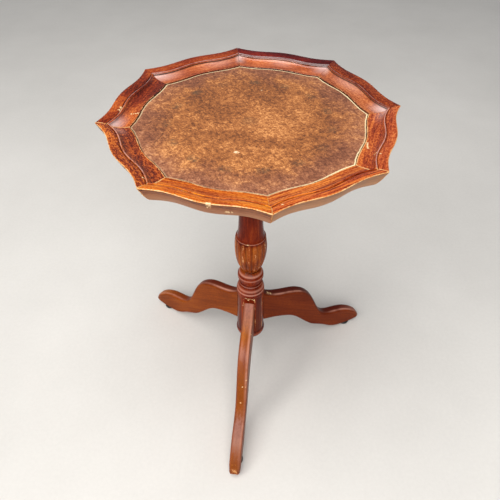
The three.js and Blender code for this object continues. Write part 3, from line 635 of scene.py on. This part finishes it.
def moulding_section():
    """The section as (band, depth below the rim's top) points, and the number of each stretch's first one."""
    thickness = (RIM_TOP - RIM_UNDERSIDE) / MM
    stretches = [
        ("face", through([
            (0, 1.0), (0.035, 2.2), (0.11, 4.5), (0.22, 8), (0.4, 13.5), (0.6, 18.5), (0.78, 22.3),
            (0.94, 24.4), (1.08, thickness),
        ], 3)),
        ("back", [
            (1.5, thickness), (2, thickness), (2, 14.15), (1.78, 14.15), (1.78, 10.55), (2, 10.55), (2, 9.35),
        ]),
        ("lip", [(1.992, 9.05), (1.975, 8.92), (1.955, 8.98)]),
        ("cove", quarter((1.93, 9.05), (1.065, 4.3), 18)),
        ("drop", [(1.06, 3.9), (1.045, 3.35)]),
        ("bead_foot", [(1.02, 2.85)]),
        ("bead", [(0.998, 2.4), (0.975, 2.1), (0.95, 1.95)]),
        ("bead_top", [(0.925, 1.92)]),
        ("bead_outside", [(0.9, 2.05), (0.885, 2.5), (0.87, 3.1)]),
        ("quirk", [(0.84, 3.6)]),
        ("quirk_outside", [(0.805, 3.2), (0.78, 2.55)]),
        ("crown", through([(0.765, 2.2), (0.62, 1.45), (0.45, 0.82), (0.25, 0.28), (0.1, 0.02)], 5)),
        ("arris", [(0.055, 0.03), (0.028, 0.16)]),
        ("arris_top", [(0.01, 0.4)]),
        ("arris_outside", [(0.002, 0.7)]),
    ]
    points, first = [], {}
    for name, stretch in stretches:
        first[name] = len(points)
        points.extend(stretch)
    return np.array(points, float), first


def rim_moulding(number):
    side = number - 1
    points, first = moulding_section()
    worn = {first["arris_top"]: 0.0, first["lip"] + 1: 0.2}
    finish = RIM_FINISHES[side]
    shaded_corners = {"quirk": 1.1, "drop": 1.0, "lip": 0.9}
    across = np.where(points[:, 0] < 1, points[:, 0] * BAND_WIDTHS[0],
                      BAND_WIDTHS[0] + (points[:, 0] - 1) * BAND_WIDTHS[1])
    steps = np.hypot(np.diff(across), np.diff(points[:, 1]))
    run = np.concatenate([[0], np.cumsum(steps)])
    round_trip = run[-1] + math.hypot(across[0] - across[-1], points[0, 1] - points[-1, 1])

    def apart(k):
        gap = np.abs(run - run[k])
        return np.minimum(gap, round_trip - gap)

    edge = np.min([apart(k) + held_back for k, held_back in worn.items()], axis=0)
    bead = apart(first["bead_top"])
    kinds = np.arange(len(points))
    cove = ((kinds >= first["lip"]) & (kinds < first["bead_foot"])).astype(float)
    face = np.where(kinds < first["back"], points[:, 1] / points[:, 1].max(), 0)
    face[first["back"] : first["back"] + 2] = 0.2
    # Painted shade in the quirk, on the drop and beside the leather
    painted_shade = np.max([
        finish[name] * np.exp(-(apart(first[name]) / width) ** 2) for name, width in shaded_corners.items()
    ], axis=0)
    alongs = np.clip(np.linspace(0, 1, SIDE_STEPS + 1), MITRE_GAP, 1 - MITRE_GAP)
    alongs = np.insert(alongs, [1, SIDE_STEPS], [0.008, 0.992])
    middle = corner(OUTER_EDGE["radius"], side) + corner(OUTER_EDGE["radius"], side + 1)
    out = middle / np.linalg.norm(middle)
    chord = np.array([out[1], -out[0]])
    length = 2 * OUTER_EDGE["radius"] * math.sin(CORNER_STEP / 2)
    rings, grain, edges, painted_sheens = [], [], [], []
    for along in alongs:
        mitre = side if along < 0.5 else (side + 1) % SIDES
        # Painted milky reflection, in patches along the cove
        painted_sheen = max(
            (much * math.exp(-((along - spot) / wide) ** 2) for spot, wide, much in finish["painted_sheen"]),
            default=0,
        )
        painted_sheens.append(cove * np.clip((1.75 - points[:, 0]) / 0.55, 0, 1) * painted_sheen)
        to_mitre = min(along, 1 - along) * length + MITRE_WEAR[mitre]
        for (band, depth), edge_here in zip(points, edge):
            x, y = on_band(band, side, along)
            rings.append((x * MM, y * MM, RIM_TOP - depth * MM))
            grain.append((np.dot((x, y), chord) * MM + number, np.dot((x, y), out) * MM, -depth * MM))
            edges.append(min(edge_here, to_mitre + 0.05))
    rings = np.array(rings).reshape(len(alongs), len(points), 3)
    piece = loft(f"rim_{number}", rings)
    store(piece, "grain", grain)
    store(piece, "edge", edges)
    store(piece, "painted_sheen", np.concatenate(painted_sheens))
    for name, across_section in (("painted_shade", painted_shade), ("bead", bead), ("cove", cove), ("face", face)):
        store(piece, name, np.tile(across_section, len(alongs)))
    place(piece, HEAD_FRAME)
    smooth(piece, 42)
    chips = [(HEAD_FRAME @ Vector(point), size) for on, point, size in RIM_CHIPS if on == number]
    piece.data.materials.append(rim_material(number, chips))
    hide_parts(f"rim_moulding_{number}")
    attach(piece, "top")


# Chips in the rim: the moulding, the place in the head's frame and the size
RIM_CHIPS = (
    (1, (-0.1611, -0.0282, 0.5195), 0.0021), (1, (-0.1607, -0.0340, 0.5193), 0.0019),
    (1, (-0.1480, -0.0292, 0.5150), 0.0014), (1, (-0.1458, -0.0276, 0.5140), 0.0013),
    (1, (-0.1436, -0.0260, 0.5128), 0.0014), (1, (-0.1414, -0.0244, 0.5118), 0.0014),
    (5, (0.1440, -0.0095, 0.5125), 0.0013), (5, (0.1444, -0.0120, 0.5126), 0.0014),
    (5, (0.1448, -0.0150, 0.5128), 0.0015), (5, (0.1454, -0.0180, 0.5130), 0.0014),
    (5, (0.1460, -0.0205, 0.5132), 0.0013), (5, (0.1556, -0.0355, 0.5185), 0.0015),
    (5, (0.1614, -0.0378, 0.5190), 0.0014), (6, (0.0773, -0.1554, 0.5190), 0.0014),
    (7, (0.0066, -0.1757, 0.5180), 0.0026), (7, (0.0048, -0.1760, 0.5183), 0.0018),
    (7, (0.0041, -0.1731, 0.5120), 0.0009), (7, (0.0214, -0.1678, 0.5058), 0.0010),
    (7, (0.0229, -0.1675, 0.5057), 0.0014), (7, (0.0245, -0.1672, 0.5058), 0.0014),
    (7, (0.0278, -0.1664, 0.5054), 0.0011), (8, (-0.0750, -0.1530, 0.5195), 0.0014),
)

# How much of the pale line along the leather is left, at each corner and the middle of each side in turn
GILT_LEFT = (0.3, 0.5, 0.8, 0.6, 0.95, 0.75, 0.95, 1.0, 0.95, 0.45, 1.0, 0.6, 0.35, 0.1, 0.2, 0.0)


def leather_panel():
    """The hide, a little wavy, with its cut edge rolled down into the groove beside the rim."""
    low_edge, flat_rings, rolled_edge = 0.6, 38, 4
    around = SIDES * LEATHER_STEPS
    edge = np.array([
        on_side(PANEL_EDGE, k // LEATHER_STEPS, (k % LEATHER_STEPS) / LEATHER_STEPS) for k in range(around)
    ])
    radii = np.linalg.norm(edge, axis=1)
    unit = edge / radii[:, None]
    insets = [*np.linspace(138, rolled_edge, flat_rings), 2.6, 1.8, 1.3, 0.95, 0.75, low_edge]
    drops = [0.0] * flat_rings + [0.0, 0.0, 0.03, 0.1, 0.22, 0.4]
    rings, kept = [], []
    for inset, drop in zip(insets, drops):
        share = (radii - inset * radii / PANEL_EDGE["radius"]) / radii
        flat = edge * share[:, None] if inset > rolled_edge else edge - unit * inset
        wave = (np.sin(flat[:, 0] * 0.07 + 1.3) * np.sin(flat[:, 1] * 0.085 + 0.4)
                + 0.5 * np.sin(flat[:, 0] * 0.19 + flat[:, 1] * 0.13))
        height = LEATHER_TOP - (0.14 + 0.09 * wave + drop) * MM
        rings.append(np.column_stack([flat * MM, height]))
        kept.extend([inset] * around)
    bottom = edge - unit * low_edge
    rings.append(np.column_stack([bottom * MM, np.full(around, LEATHER_BOTTOM)]))
    kept.extend([low_edge] * around)
    piece = loft("leather", rings)
    store(piece, "inset", kept)
    at_sides = np.arange(around) / LEATHER_STEPS
    gilt = np.interp(at_sides, np.arange(len(GILT_LEFT)) / 2, GILT_LEFT, period=SIDES)
    store(piece, "gilt", np.tile(gilt, len(rings)))
    place(piece, HEAD_FRAME)
    smooth(piece, 50)
    piece.data.materials.append(leather_material())
    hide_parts("leather_panel")
    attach(piece, "top")


# Pillar


def pillar_profile():
    """(height, radius) down the turning, in millimetres, but for the vase, which has reeds."""
    foot = through([(86, 15), (86.6, 20), (89.5, 23), (94, 24.4), (98, 24.2)], 5)
    hub = [(99.2, 24.0), (99.8, 23.3), (101, 23.1)] + [
        (height, 23.1 - 0.9 * (height - 101) / 89) for height in range(104, 190, 4)
    ]
    lower_torus = through([
        (190, 22.2), (191.3, 21.7), (193, 22.6), (197.3, 22.9), (198.3, 22.3), (199.3, 22.9),
        (202, 22.7), (205.5, 22), (209.5, 20.6), (213, 18.8),
    ], 5)
    lower_neck = through([(213.6, 17.9), (214.3, 18.1), (215.2, 18.95), (216.6, 18.9), (217.8, 17.7)], 4)
    cavetto = through([(218.5, 17.3), (220.5, 16.9), (222.5, 17.2), (224.3, 18.5)], 5)
    upper_torus = through([(224.6, 19.0), (226.3, 20.3), (230, 21), (234.8, 20.7), (236.6, 19.8)], 5)
    fillet = through([(237.1, 19.0), (238, 19.2), (240, 18.7), (242, 17.4), (244, 15.5), (245.5, 13.3)], 4)
    return np.concatenate([foot, hub, lower_torus, lower_neck, cavetto, upper_torus, fillet])


def shaft_profile():
    base = through([(LIP_HEIGHT, 22.9), (316.9, 22.5), (317.4, 21.7)], 3)
    taper = through([
        (318, 21.3), (323, 20), (332, 18.9), (346, 18.1), (380, 17), (420, 15.9), (455, 15), (462, 15.1),
    ], 6)
    head = through([(466, 15.8), (467.6, 17.2), (470.5, 18.2), (474, 18), (476, 16.8)], 4)
    shoulder = through([(477, 16.9), (479.5, 18.3), (SHAFT_TOP, 19)], 3)
    return np.concatenate([base, taper, head, shoulder])


# Painted highlight bands on the turning: height, half width and how pale
PILLAR_PAINTED_HIGHLIGHTS = (
    (240.4, 1.7, 0.6), (233, 1.2, 0.45), (215.8, 0.8, 0.45), (208.3, 1.9, 0.45), (201.6, 1.4, 0.65),
    (LIP_HEIGHT, 0.5, 0.6), (95, 2.5, 0.25),
)
# Painted shade: the heights of grooves and half widths, then the middles and half widths of the shaded
# stretches round the hub, in degrees. The painted shade in the reeds' valleys is lightest on the lit side,
# and a line down the hub is worn.
SHADED_GROOVES = ((191.5, 0.8), (213.8, 0.7), (218, 0.8), (246, 1.5), (101, 1.0))
HUB_SHADE = ((316, 17), (205, 30))
LIT_SIDE = math.radians(-35)
WORN_LINE = math.radians(334)

VASE = {"foot": (246.5, 13), "belly": (294, 25), "lip": (316, 23.1), "fullness": 1.45}


def vase_radius(height):
    low, foot = VASE["foot"]
    middle, belly = VASE["belly"]
    high, lip = VASE["lip"]
    if height < middle:
        turn = math.acos((middle - height) / (middle - low))
        return foot + (belly - foot) * math.sin(turn) ** VASE["fullness"]
    return belly + (lip - belly) * ((height - middle) / (high - middle)) ** 2


def reeding(height, angle):
    """How far the surface lies inside the vase's outline: round reeds that end in arches under the lip."""
    pitch = math.tau / REEDS
    across = np.abs((angle / pitch + 0.5) % 1 - 0.5) * 2
    valley = 1 - np.sqrt(1 - (0.985 * across) ** 2)
    depth = REED_DEPTH * float(ease((height - VASE["foot"][0] + 8) / 16))
    arch_low, arch_high = VASE["lip"][0] - 9.5, VASE["lip"][0] - 1.2
    rise = np.clip((height - arch_low) / (arch_high - arch_low), 0, 1)
    half_width = np.sqrt(1 - rise**2)
    beyond = ease((across - half_width) / 0.22 + 0.5) if rise > 0 else 0 * across
    hollow = np.maximum(valley * depth, beyond * 1.15)
    return hollow * float(ease((VASE["lip"][0] - height) / 0.9))


def pillar():
    segments = REEDS * REED_STEPS
    angles = np.arange(segments) * math.tau / segments
    rows = [(height, radius, None) for height, radius in pillar_profile()]
    vase_heights = np.concatenate([
        np.linspace(VASE["foot"][0], 304, 60), np.linspace(304.6, VASE["lip"][0], 24),
    ])
    rows += [(height, vase_radius(height), reeding(height, angles)) for height in vase_heights]
    rows += [(height, radius, None) for height, radius in shaft_profile()]
    top = PILLAR_TOP / MM
    rows += [(SHAFT_TOP, TENON_RADIUS, None), (top - 0.5, TENON_RADIUS, None), (top - 0.15, 11.4, None)]
    rings, edges, warmth, painted_shade, painted_highlights = [], [], [], [], []
    for height, radius, hollow in rows:
        distance = np.full(segments, radius) - (0 if hollow is None else hollow)
        edge = np.full(segments, 9.0)
        shading = np.zeros(segments)
        if hollow is not None:
            edge = np.minimum(edge, 0.72 + 3.5 * hollow)
            # Painted shade in the reeds' valleys, lighter towards the lit side
            shaded = 0.5 - 0.25 * np.cos(angles - LIT_SIDE)
            shading = np.clip(hollow / 1.1, 0, 1) ** 1.5 * shaded
        # Painted shade in the grooves
        for groove, wide in SHADED_GROOVES:
            shading = np.maximum(shading, 0.7 * math.exp(-((height - groove) / wide) ** 2))
        edge = np.minimum(edge, abs(height - LIP_HEIGHT) + 0.75)
        if HUB_SIDE[0] <= height <= HUB_SIDE[1]:
            edge = np.minimum(edge, np.abs(angles - WORN_LINE) * radius + 0.42)
            # Painted shade on two stretches of the hub
            for middle, wide in HUB_SHADE:
                inside = np.clip((wide - np.abs(np.degrees(angles) - middle)) / 3, 0, 1)
                shading = np.maximum(shading, 0.42 * inside)
        if FLATS[0] <= height <= FLATS[1]:
            for direction in LEG_DIRECTIONS.values():
                facing = np.cos(angles - direction)
                limit = FLAT_DISTANCE / np.maximum(facing, 0.2)
                distance = np.minimum(distance, limit)
                corner_angle = math.acos(min(1, FLAT_DISTANCE / radius))
                off = np.abs((angles - direction + math.pi) % math.tau - math.pi)
                edge = np.minimum(edge, np.abs(off - corner_angle) * radius + 0.3)
        rings.append(np.column_stack([
            distance * np.cos(angles) * MM, distance * np.sin(angles) * MM, np.full(segments, height * MM),
        ]))
        edges.extend(edge)
        warmth.extend([float(ease((height - 240) / 8) * ease((314 - height) / 5))] * segments)
        # Painted highlight bands, strongest on the side towards the front
        painted_highlight = max(much * math.exp(-((height - at) / wide) ** 2) for at, wide, much in PILLAR_PAINTED_HIGHLIGHTS)
        painted_highlights.extend(painted_highlight * (0.75 + 0.25 * np.cos(angles + math.pi / 2)))
        painted_shade.extend(shading)
    piece = loft("pillar_turning", rings)
    for name, values in (("edge", edges), ("warmth", warmth), ("painted_shade", painted_shade), ("painted_highlight", painted_highlights)):
        store(piece, name, values)
    place(piece, STAND_FRAME)
    smooth(piece, 30)
    piece.data.materials.append(pillar_material())
    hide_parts("pillar")
    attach(piece, "stand")


def upright_grain(paint):
    """Place with the grain up the pillar."""
    return paint.moved(paint.object_place(), turn=(0, math.pi / 2, 0))


PILLAR_CHIPS = (
    ((0.0002, -0.0222, 0.1915), 0.0026), ((-0.0045, -0.0214, 0.1925), 0.0022),
    ((0.0050, -0.0218, 0.1905), 0.0024), ((0.0082, -0.0205, 0.1880), 0.0015),
    ((-0.0015, -0.0208, 0.1875), 0.0017), ((-0.0104, -0.0199, 0.1722), 0.0010),
    ((-0.0125, -0.0165, 0.2030), 0.0010), ((-0.0020, -0.0228, 0.3165), 0.0014),
)


def pillar_material():
    def recolour(paint, colour, tone):
        warm = paint.ramp(tone, *tones((66, 20, 7), (140, 62, 18), (206, 116, 46)))
        colour = paint.mix(paint.kept("warmth"), colour, warm)
        # Painted highlight bands
        return paint.mix(paint.kept("painted_highlight"), colour, HIGHLIGHT_ROSE)

    return mahogany(
        "mahogany_pillar", upright_grain, ((62, 15, 6), (118, 38, 14), (164, 72, 28)), recolour,
        fleck=0.06, streak=0.16, patch=0.2, pores=0.2, gloss=0.15, coat=0.08, specular=0.06,
        chips=[(STAND_FRAME @ Vector(spot), size) for spot, size in PILLAR_CHIPS],
    )


# Legs

LEG_CROWN = [
    (20.5, 179.5), (30, 172), (42, 165.5), (57, 161), (72, 158), (86, 154), (98, 147.5), (109, 138),
    (118, 125), (126, 107), (133, 89), (141, 72.5), (151, 61), (163, 55.5), (178, 53), (193, 49.8),
    (206, 44), (218, 35.5), (228, 26), (233.7, 17.5), (235.1, 13),
]
LEG_UNDERSIDE = [
    (235.1, 13), (233.3, 10), (226, 8), (216, 6.4), (206, 6.3), (196, 6.4), (184, 7.4),
    (173, 11), (163, 17), (152, 25.5), (139, 33.5), (124, 43), (111, 56.5), (99, 71), (88, 83.5),
    (78, 92), (65, 98.5), (49, 104), (34, 107.7), (20.5, 110.3),
]


def leg(name, direction):
    crown = through(LEG_CROWN, 5)
    underside = through(LEG_UNDERSIDE, 5)[1:]
    outline = np.concatenate([crown, underside])
    before, after = np.roll(outline, 1, axis=0), np.roll(outline, -1, axis=0)
    before[0], after[-1] = outline[0], outline[-1]
    run = after - before
    run /= np.linalg.norm(run, axis=1)[:, None]
    inward = np.stack([run[:, 1], -run[:, 0]], 1)
    on_top = np.arange(len(outline)) < len(crown)
    widths = np.where(on_top, LEG_TOP_ROUNDING[0], LEG_BOTTOM_ROUNDING[0])
    depths = np.where(on_top, LEG_TOP_ROUNDING[1], LEG_BOTTOM_ROUNDING[1])[:, None]
    rounded_toe = 1 - 0.25 * (np.clip(outline[:, 0] - 227, 0, 9) / 8.1) ** 2
    half_rings = []
    for turn in np.linspace(0, math.pi / 2, 9):
        side = (LEG_HALF_THICKNESS - widths * (1 - math.cos(turn))) * rounded_toe
        moved = outline + inward * depths * (1 - math.sin(turn))
        half_rings.append((side, moved))
    rings = [(-side, moved) for side, moved in half_rings] + half_rings[::-1]
    placed = []
    kept = {key: [] for key in ("grain", "edge", "top", "reach", "painted_sheen", "flame", "stain")}
    slope = math.radians(-30)
    highlight_aside, highlight_width, *streak = LEG_FINISHES[name]["painted_sheen"]
    for side, moved in rings:
        reach = np.maximum(moved[:, 0], LEG_BACK)
        placed.append(np.column_stack([reach, side, moved[:, 1]]) * MM)
        along = reach * math.cos(slope) + moved[:, 1] * math.sin(slope)
        up = moved[:, 1] * math.cos(slope) - reach * math.sin(slope)
        kept["grain"].append(np.column_stack([along * MM + 3 * direction, side * MM, up * MM]))
        worn_toe = np.maximum(0.8, (LEG_REACH - 1 - reach) * 0.3)
        junction = 0.75 + (reach - LEG_BACK) * 0.6
        kept["edge"].append(np.minimum(worn_toe, junction))
        upper = ease((LEG_HALF_THICKNESS - np.abs(side)) / LEG_TOP_ROUNDING[0] * 1.6)
        kept["top"].append(np.where(on_top, upper, 0.0))
        kept["reach"].append(reach)
        # The painted highlight streak along the top, then the front leg's flame and stain
        for key, aside, wide, at, much in (
            ("painted_sheen", highlight_aside, highlight_width, *zip(*streak)),
            ("flame", -1.2, 2.4, (0.2, 0.25, 0.4, 0.46), (0, 1, 1, 0)),
            ("stain", 2.2, 0.9, (0.26, 0.3, 0.46, 0.52), (0, 0.5, 0.6, 0)),
        ):
            share = np.exp(-((side - aside) / wide) ** 2) * np.interp(reach / LEG_REACH, at, much)
            kept[key].append(np.where(on_top, share, 0))
    piece = loft(f"leg_{name}_board", placed, cap="ladder")
    for key, values in kept.items():
        store(piece, key, np.concatenate(values))
    place(piece, STAND_FRAME @ Matrix.Rotation(direction, 4, "Z"))
    smooth(piece, 40)
    piece.modifiers.new("weighted_normals", "WEIGHTED_NORMAL").keep_sharp = True
    piece.data.materials.append(leg_material(name))
    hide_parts(f"leg_{name}")
    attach(piece, "stand")


# For each leg: the tones of its sides, the tones of its rounded top at stops of reach, its painted highlight
# streak (how far aside, half width, then how strong at stops of reach) and its chips
LEG_FINISHES = {
    "front": {
        "sides": ((84, 40, 26), (132, 68, 42), (172, 100, 66)),
        # The pale pinkish stops are a painted milky reflection on the top
        "top": (
            (0.10, (172, 114, 98)), (0.22, (186, 120, 90)), (0.29, (198, 114, 52)), (0.36, (184, 104, 58)),
            (0.42, (182, 120, 100)), (0.48, (150, 84, 52)), (0.55, (144, 76, 28)), (0.66, (146, 78, 36)),
            (0.74, (162, 112, 98)), (0.86, (162, 112, 94)), (0.93, (138, 74, 40)), (1.0, (130, 68, 28)),
        ),
        "painted_sheen": (
            6.4, 1.7, (0.1, 0.2), (0.25, 0.75), (0.5, 0.7), (0.6, 0.2), (0.72, 0.5), (0.9, 0.3), (1.0, 0.0),
        ),
        "chips": (
            ((0.0085, -0.050, 0.1620), 0.0012), ((0.0085, -0.066, 0.1570), 0.0013),
            ((0.001, -0.1290, 0.0990), 0.0011), ((-0.001, -0.1420, 0.0710), 0.0013),
            ((0.0068, -0.1235, 0.1110), 0.0013), ((0.0062, -0.1280, 0.0985), 0.0012),
        ),
    },
    "rear_right": {
        "sides": ((66, 22, 8), (114, 46, 18), (150, 70, 26)),
        "top": (
            (0.1, (104, 40, 26)), (0.35, (100, 42, 32)), (0.6, (98, 38, 24)), (0.78, (92, 36, 26)),
            (0.9, (130, 66, 50)), (1.0, (150, 80, 54)),
        ),
        "painted_sheen": (
            -5.2, 1.5, (0.1, 0.0), (0.14, 0.3), (0.22, 1.0), (0.38, 1.0), (0.46, 0.1), (0.68, 0.1),
            (0.78, 0.8), (0.92, 0.7), (1.0, 0.1),
        ),
        "chips": (((0.0285, 0.0135, 0.1715), 0.0028), ((0.0325, 0.0150, 0.1690), 0.0022)),
    },
    "rear_left": {
        "sides": ((76, 30, 9), (134, 62, 17), (172, 92, 30)),
        "top": (
            (0.1, (120, 50, 30)), (0.35, (108, 42, 26)), (0.6, (118, 50, 25)), (0.78, (132, 62, 28)),
            (0.9, (172, 92, 38)), (1.0, (180, 100, 42)),
        ),
        "painted_sheen": (
            5.0, 1.6, (0.1, 0.1), (0.18, 0.9), (0.3, 0.8), (0.4, 0.25), (0.5, 0.6), (0.62, 0.1), (0.8, 0.5),
            (1.0, 0.3),
        ),
        "chips": (),
    },
}


def leg_material(name):
    finish = LEG_FINISHES[name]

    def recolour(paint, sides, tone):
        share = paint.times(paint.kept("reach"), 1 / LEG_REACH)
        top = paint.ramp(paint.add(share, paint.fade(tone, 0.2, 0.8, -0.03, 0.03)), *finish["top"])
        top = paint.mix(paint.fade(tone, 0.25, 0.75, 0.35, 0.0), top, srgb(*finish["sides"][0]))
        colour = paint.mix(paint.kept("top"), sides, top)
        if name == "front":
            colour = paint.mix(paint.kept("flame"), colour, srgb(210, 108, 22))
            colour = paint.mix(paint.kept("stain"), colour, srgb(92, 30, 18))
        uneven = paint.fade(paint.noise(kept_grain(paint), 60, 3, 0.6), 0.3, 0.6, 0.4, 1.0)
        # Painted highlight streak along the top
        colour = paint.mix(paint.times(paint.kept("painted_sheen"), uneven), colour, HIGHLIGHT_ROSE)
        flecks = paint.fade(paint.noise(paint.object_place(), 620, 3, 0.7), 0.57, 0.66)
        toe = paint.fade(paint.kept("reach"), 205, 232)
        return paint.mix(paint.times(paint.times(flecks, toe), 0.6), colour, srgb(200, 134, 70))

    return mahogany(
        f"mahogany_leg_{name}", kept_grain, finish["sides"], recolour,
        fleck=0.1, streak=0.1, patch=0.12, pores=0.12, gloss=0.34, coat=0.0, specular=0.06, with_painted_shade=False,
        chips=[(STAND_FRAME @ Vector(spot), size) for spot, size in finish["chips"]],
    )


def glide(name, direction):
    radius, height, nail = 10.65, 6.0, 1.3
    dome = through([(7.4, 0.0), (8.9, 0.55), (10.1, 1.6), (radius, 2.9), (10.4, 4.7), (9.2, height)], 4)
    profile = [(0, 0), *dome, (nail, height), (nail, 14), (0, 17)]
    piece = lathe(f"glide_{name}_head", [(r * MM, z * MM) for r, z in profile], 48)
    out = Matrix.Translation((GLIDE_REACH * MM, 0, 0))
    place(piece, STAND_FRAME @ Matrix.Rotation(direction, 4, "Z") @ out)
    smooth(piece, 40)
    piece.data.materials.append(GLIDE)
    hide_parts(f"glide_{name}")
    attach(piece, "stand")


# Studio


def camera():
    """The view from above and in front, turned a little to the right of the front leg."""
    spot = Vector((PILLAR_X, PILLAR_Y, 0)) + Vector((0.1163, -1.0909, 1.6426)) * RIM_TOP
    pitch, roll = math.radians(-44.96), math.radians(0.18)
    level = Vector((-0.1080, 0.9942, 0)).normalized()
    forward = level * math.cos(pitch) + Vector((0, 0, math.sin(pitch)))
    right = forward.cross(Vector((0, 0, 1))).normalized()
    up = right.cross(forward)
    turned = Matrix((right, up, -forward)).transposed().to_4x4()
    made = bpy.data.objects.new("camera", bpy.data.cameras.new("camera"))
    made.data.lens = 37.65
    made.data.sensor_width = 36
    made.data.clip_start = 0.01
    made.matrix_world = Matrix.Translation(spot) @ turned @ Matrix.Rotation(roll, 4, "Z")
    bpy.context.scene.collection.objects.link(made)
    bpy.context.scene.camera = made


def softbox(name, spot, size, energy, colour=(1, 1, 1)):
    light = bpy.data.lights.new(name, "AREA")
    light.shape = "ELLIPSE"
    light.size, light.size_y = size
    light.energy = energy
    light.color = colour
    made = bpy.data.objects.new(name, light)
    made.location = spot
    aim = Vector((0, 0, 0.4)) - Vector(spot)
    made.rotation_euler = aim.to_track_quat("-Z", "Y").to_euler()
    bpy.context.scene.collection.objects.link(made)


def studio():
    size = 8
    corners = [(-size, -size, 0), (size, -size, 0), (size, size, 0), (-size, size, 0)]
    floor = new_object("floor", corners, [(0, 1, 2, 3)])
    paint = Paint("pale_floor", 0.85, specular=0.2)
    at = paint.object_place()
    tone = paint.add(paint.noise(at, 3, 4, 0.6), paint.times(paint.noise(at, 160, 4, 0.7), 0.5))
    colour = paint.ramp(tone, (0.3, (206, 203, 197)), (1.0, (222, 219, 213)))
    floor.data.materials.append(paint.finish(colour))
    world = bpy.data.worlds.new("studio")
    world.use_nodes = True
    background = world.node_tree.nodes["Background"]
    background.inputs["Color"].default_value = (0.88, 0.92, 1.0, 1)
    background.inputs["Strength"].default_value = 0.22
    bpy.context.scene.world = world
    softbox("overhead", (-0.3, -0.6, 2.6), (2.4, 2.2), 54, (1.0, 0.985, 0.97))
    softbox("front", (0.1, -2.4, 2.3), (2.6, 1.5), 52, (1.0, 0.98, 0.97))
    softbox("key", (-1.5, -1.2, 1.9), (0.8, 0.8), 16, (1.0, 0.98, 0.95))
    bpy.context.scene.view_settings.view_transform = "Standard"


# Making it all

camera()
studio()

GLIDE = glide_material()
BRASS = metal("aged_brass", srgb(196, 156, 84), srgb(120, 88, 44), 0.32)
STEEL = metal("dull_steel", srgb(178, 178, 180), srgb(112, 110, 108), 0.36)
BOARD = plain_wood("stained_hardwood", (62, 34, 20), (122, 76, 44), 0.55)
BEECH = plain_wood("bare_beech", (176, 132, 84), (218, 180, 130), 0.65)

for number in range(1, SIDES + 1):
    rim_moulding(number)
leather_panel()
pillar()
for leg_name, leg_direction in LEG_DIRECTIONS.items():
    leg(leg_name, leg_direction)
    glide(leg_name, leg_direction)

CARRIED_OVER = {"plain_wood": BOARD, "beech": BEECH, "brass": BRASS, "steel": STEEL}
for row in frame["record"]["subparts"]:
    node = NODES[row["node"]]
    if not node.hide_render and row["material_slot"] in CARRIED_OVER:
        node.data.materials.clear()
        node.data.materials.append(CARRIED_OVER[row["material_slot"]])
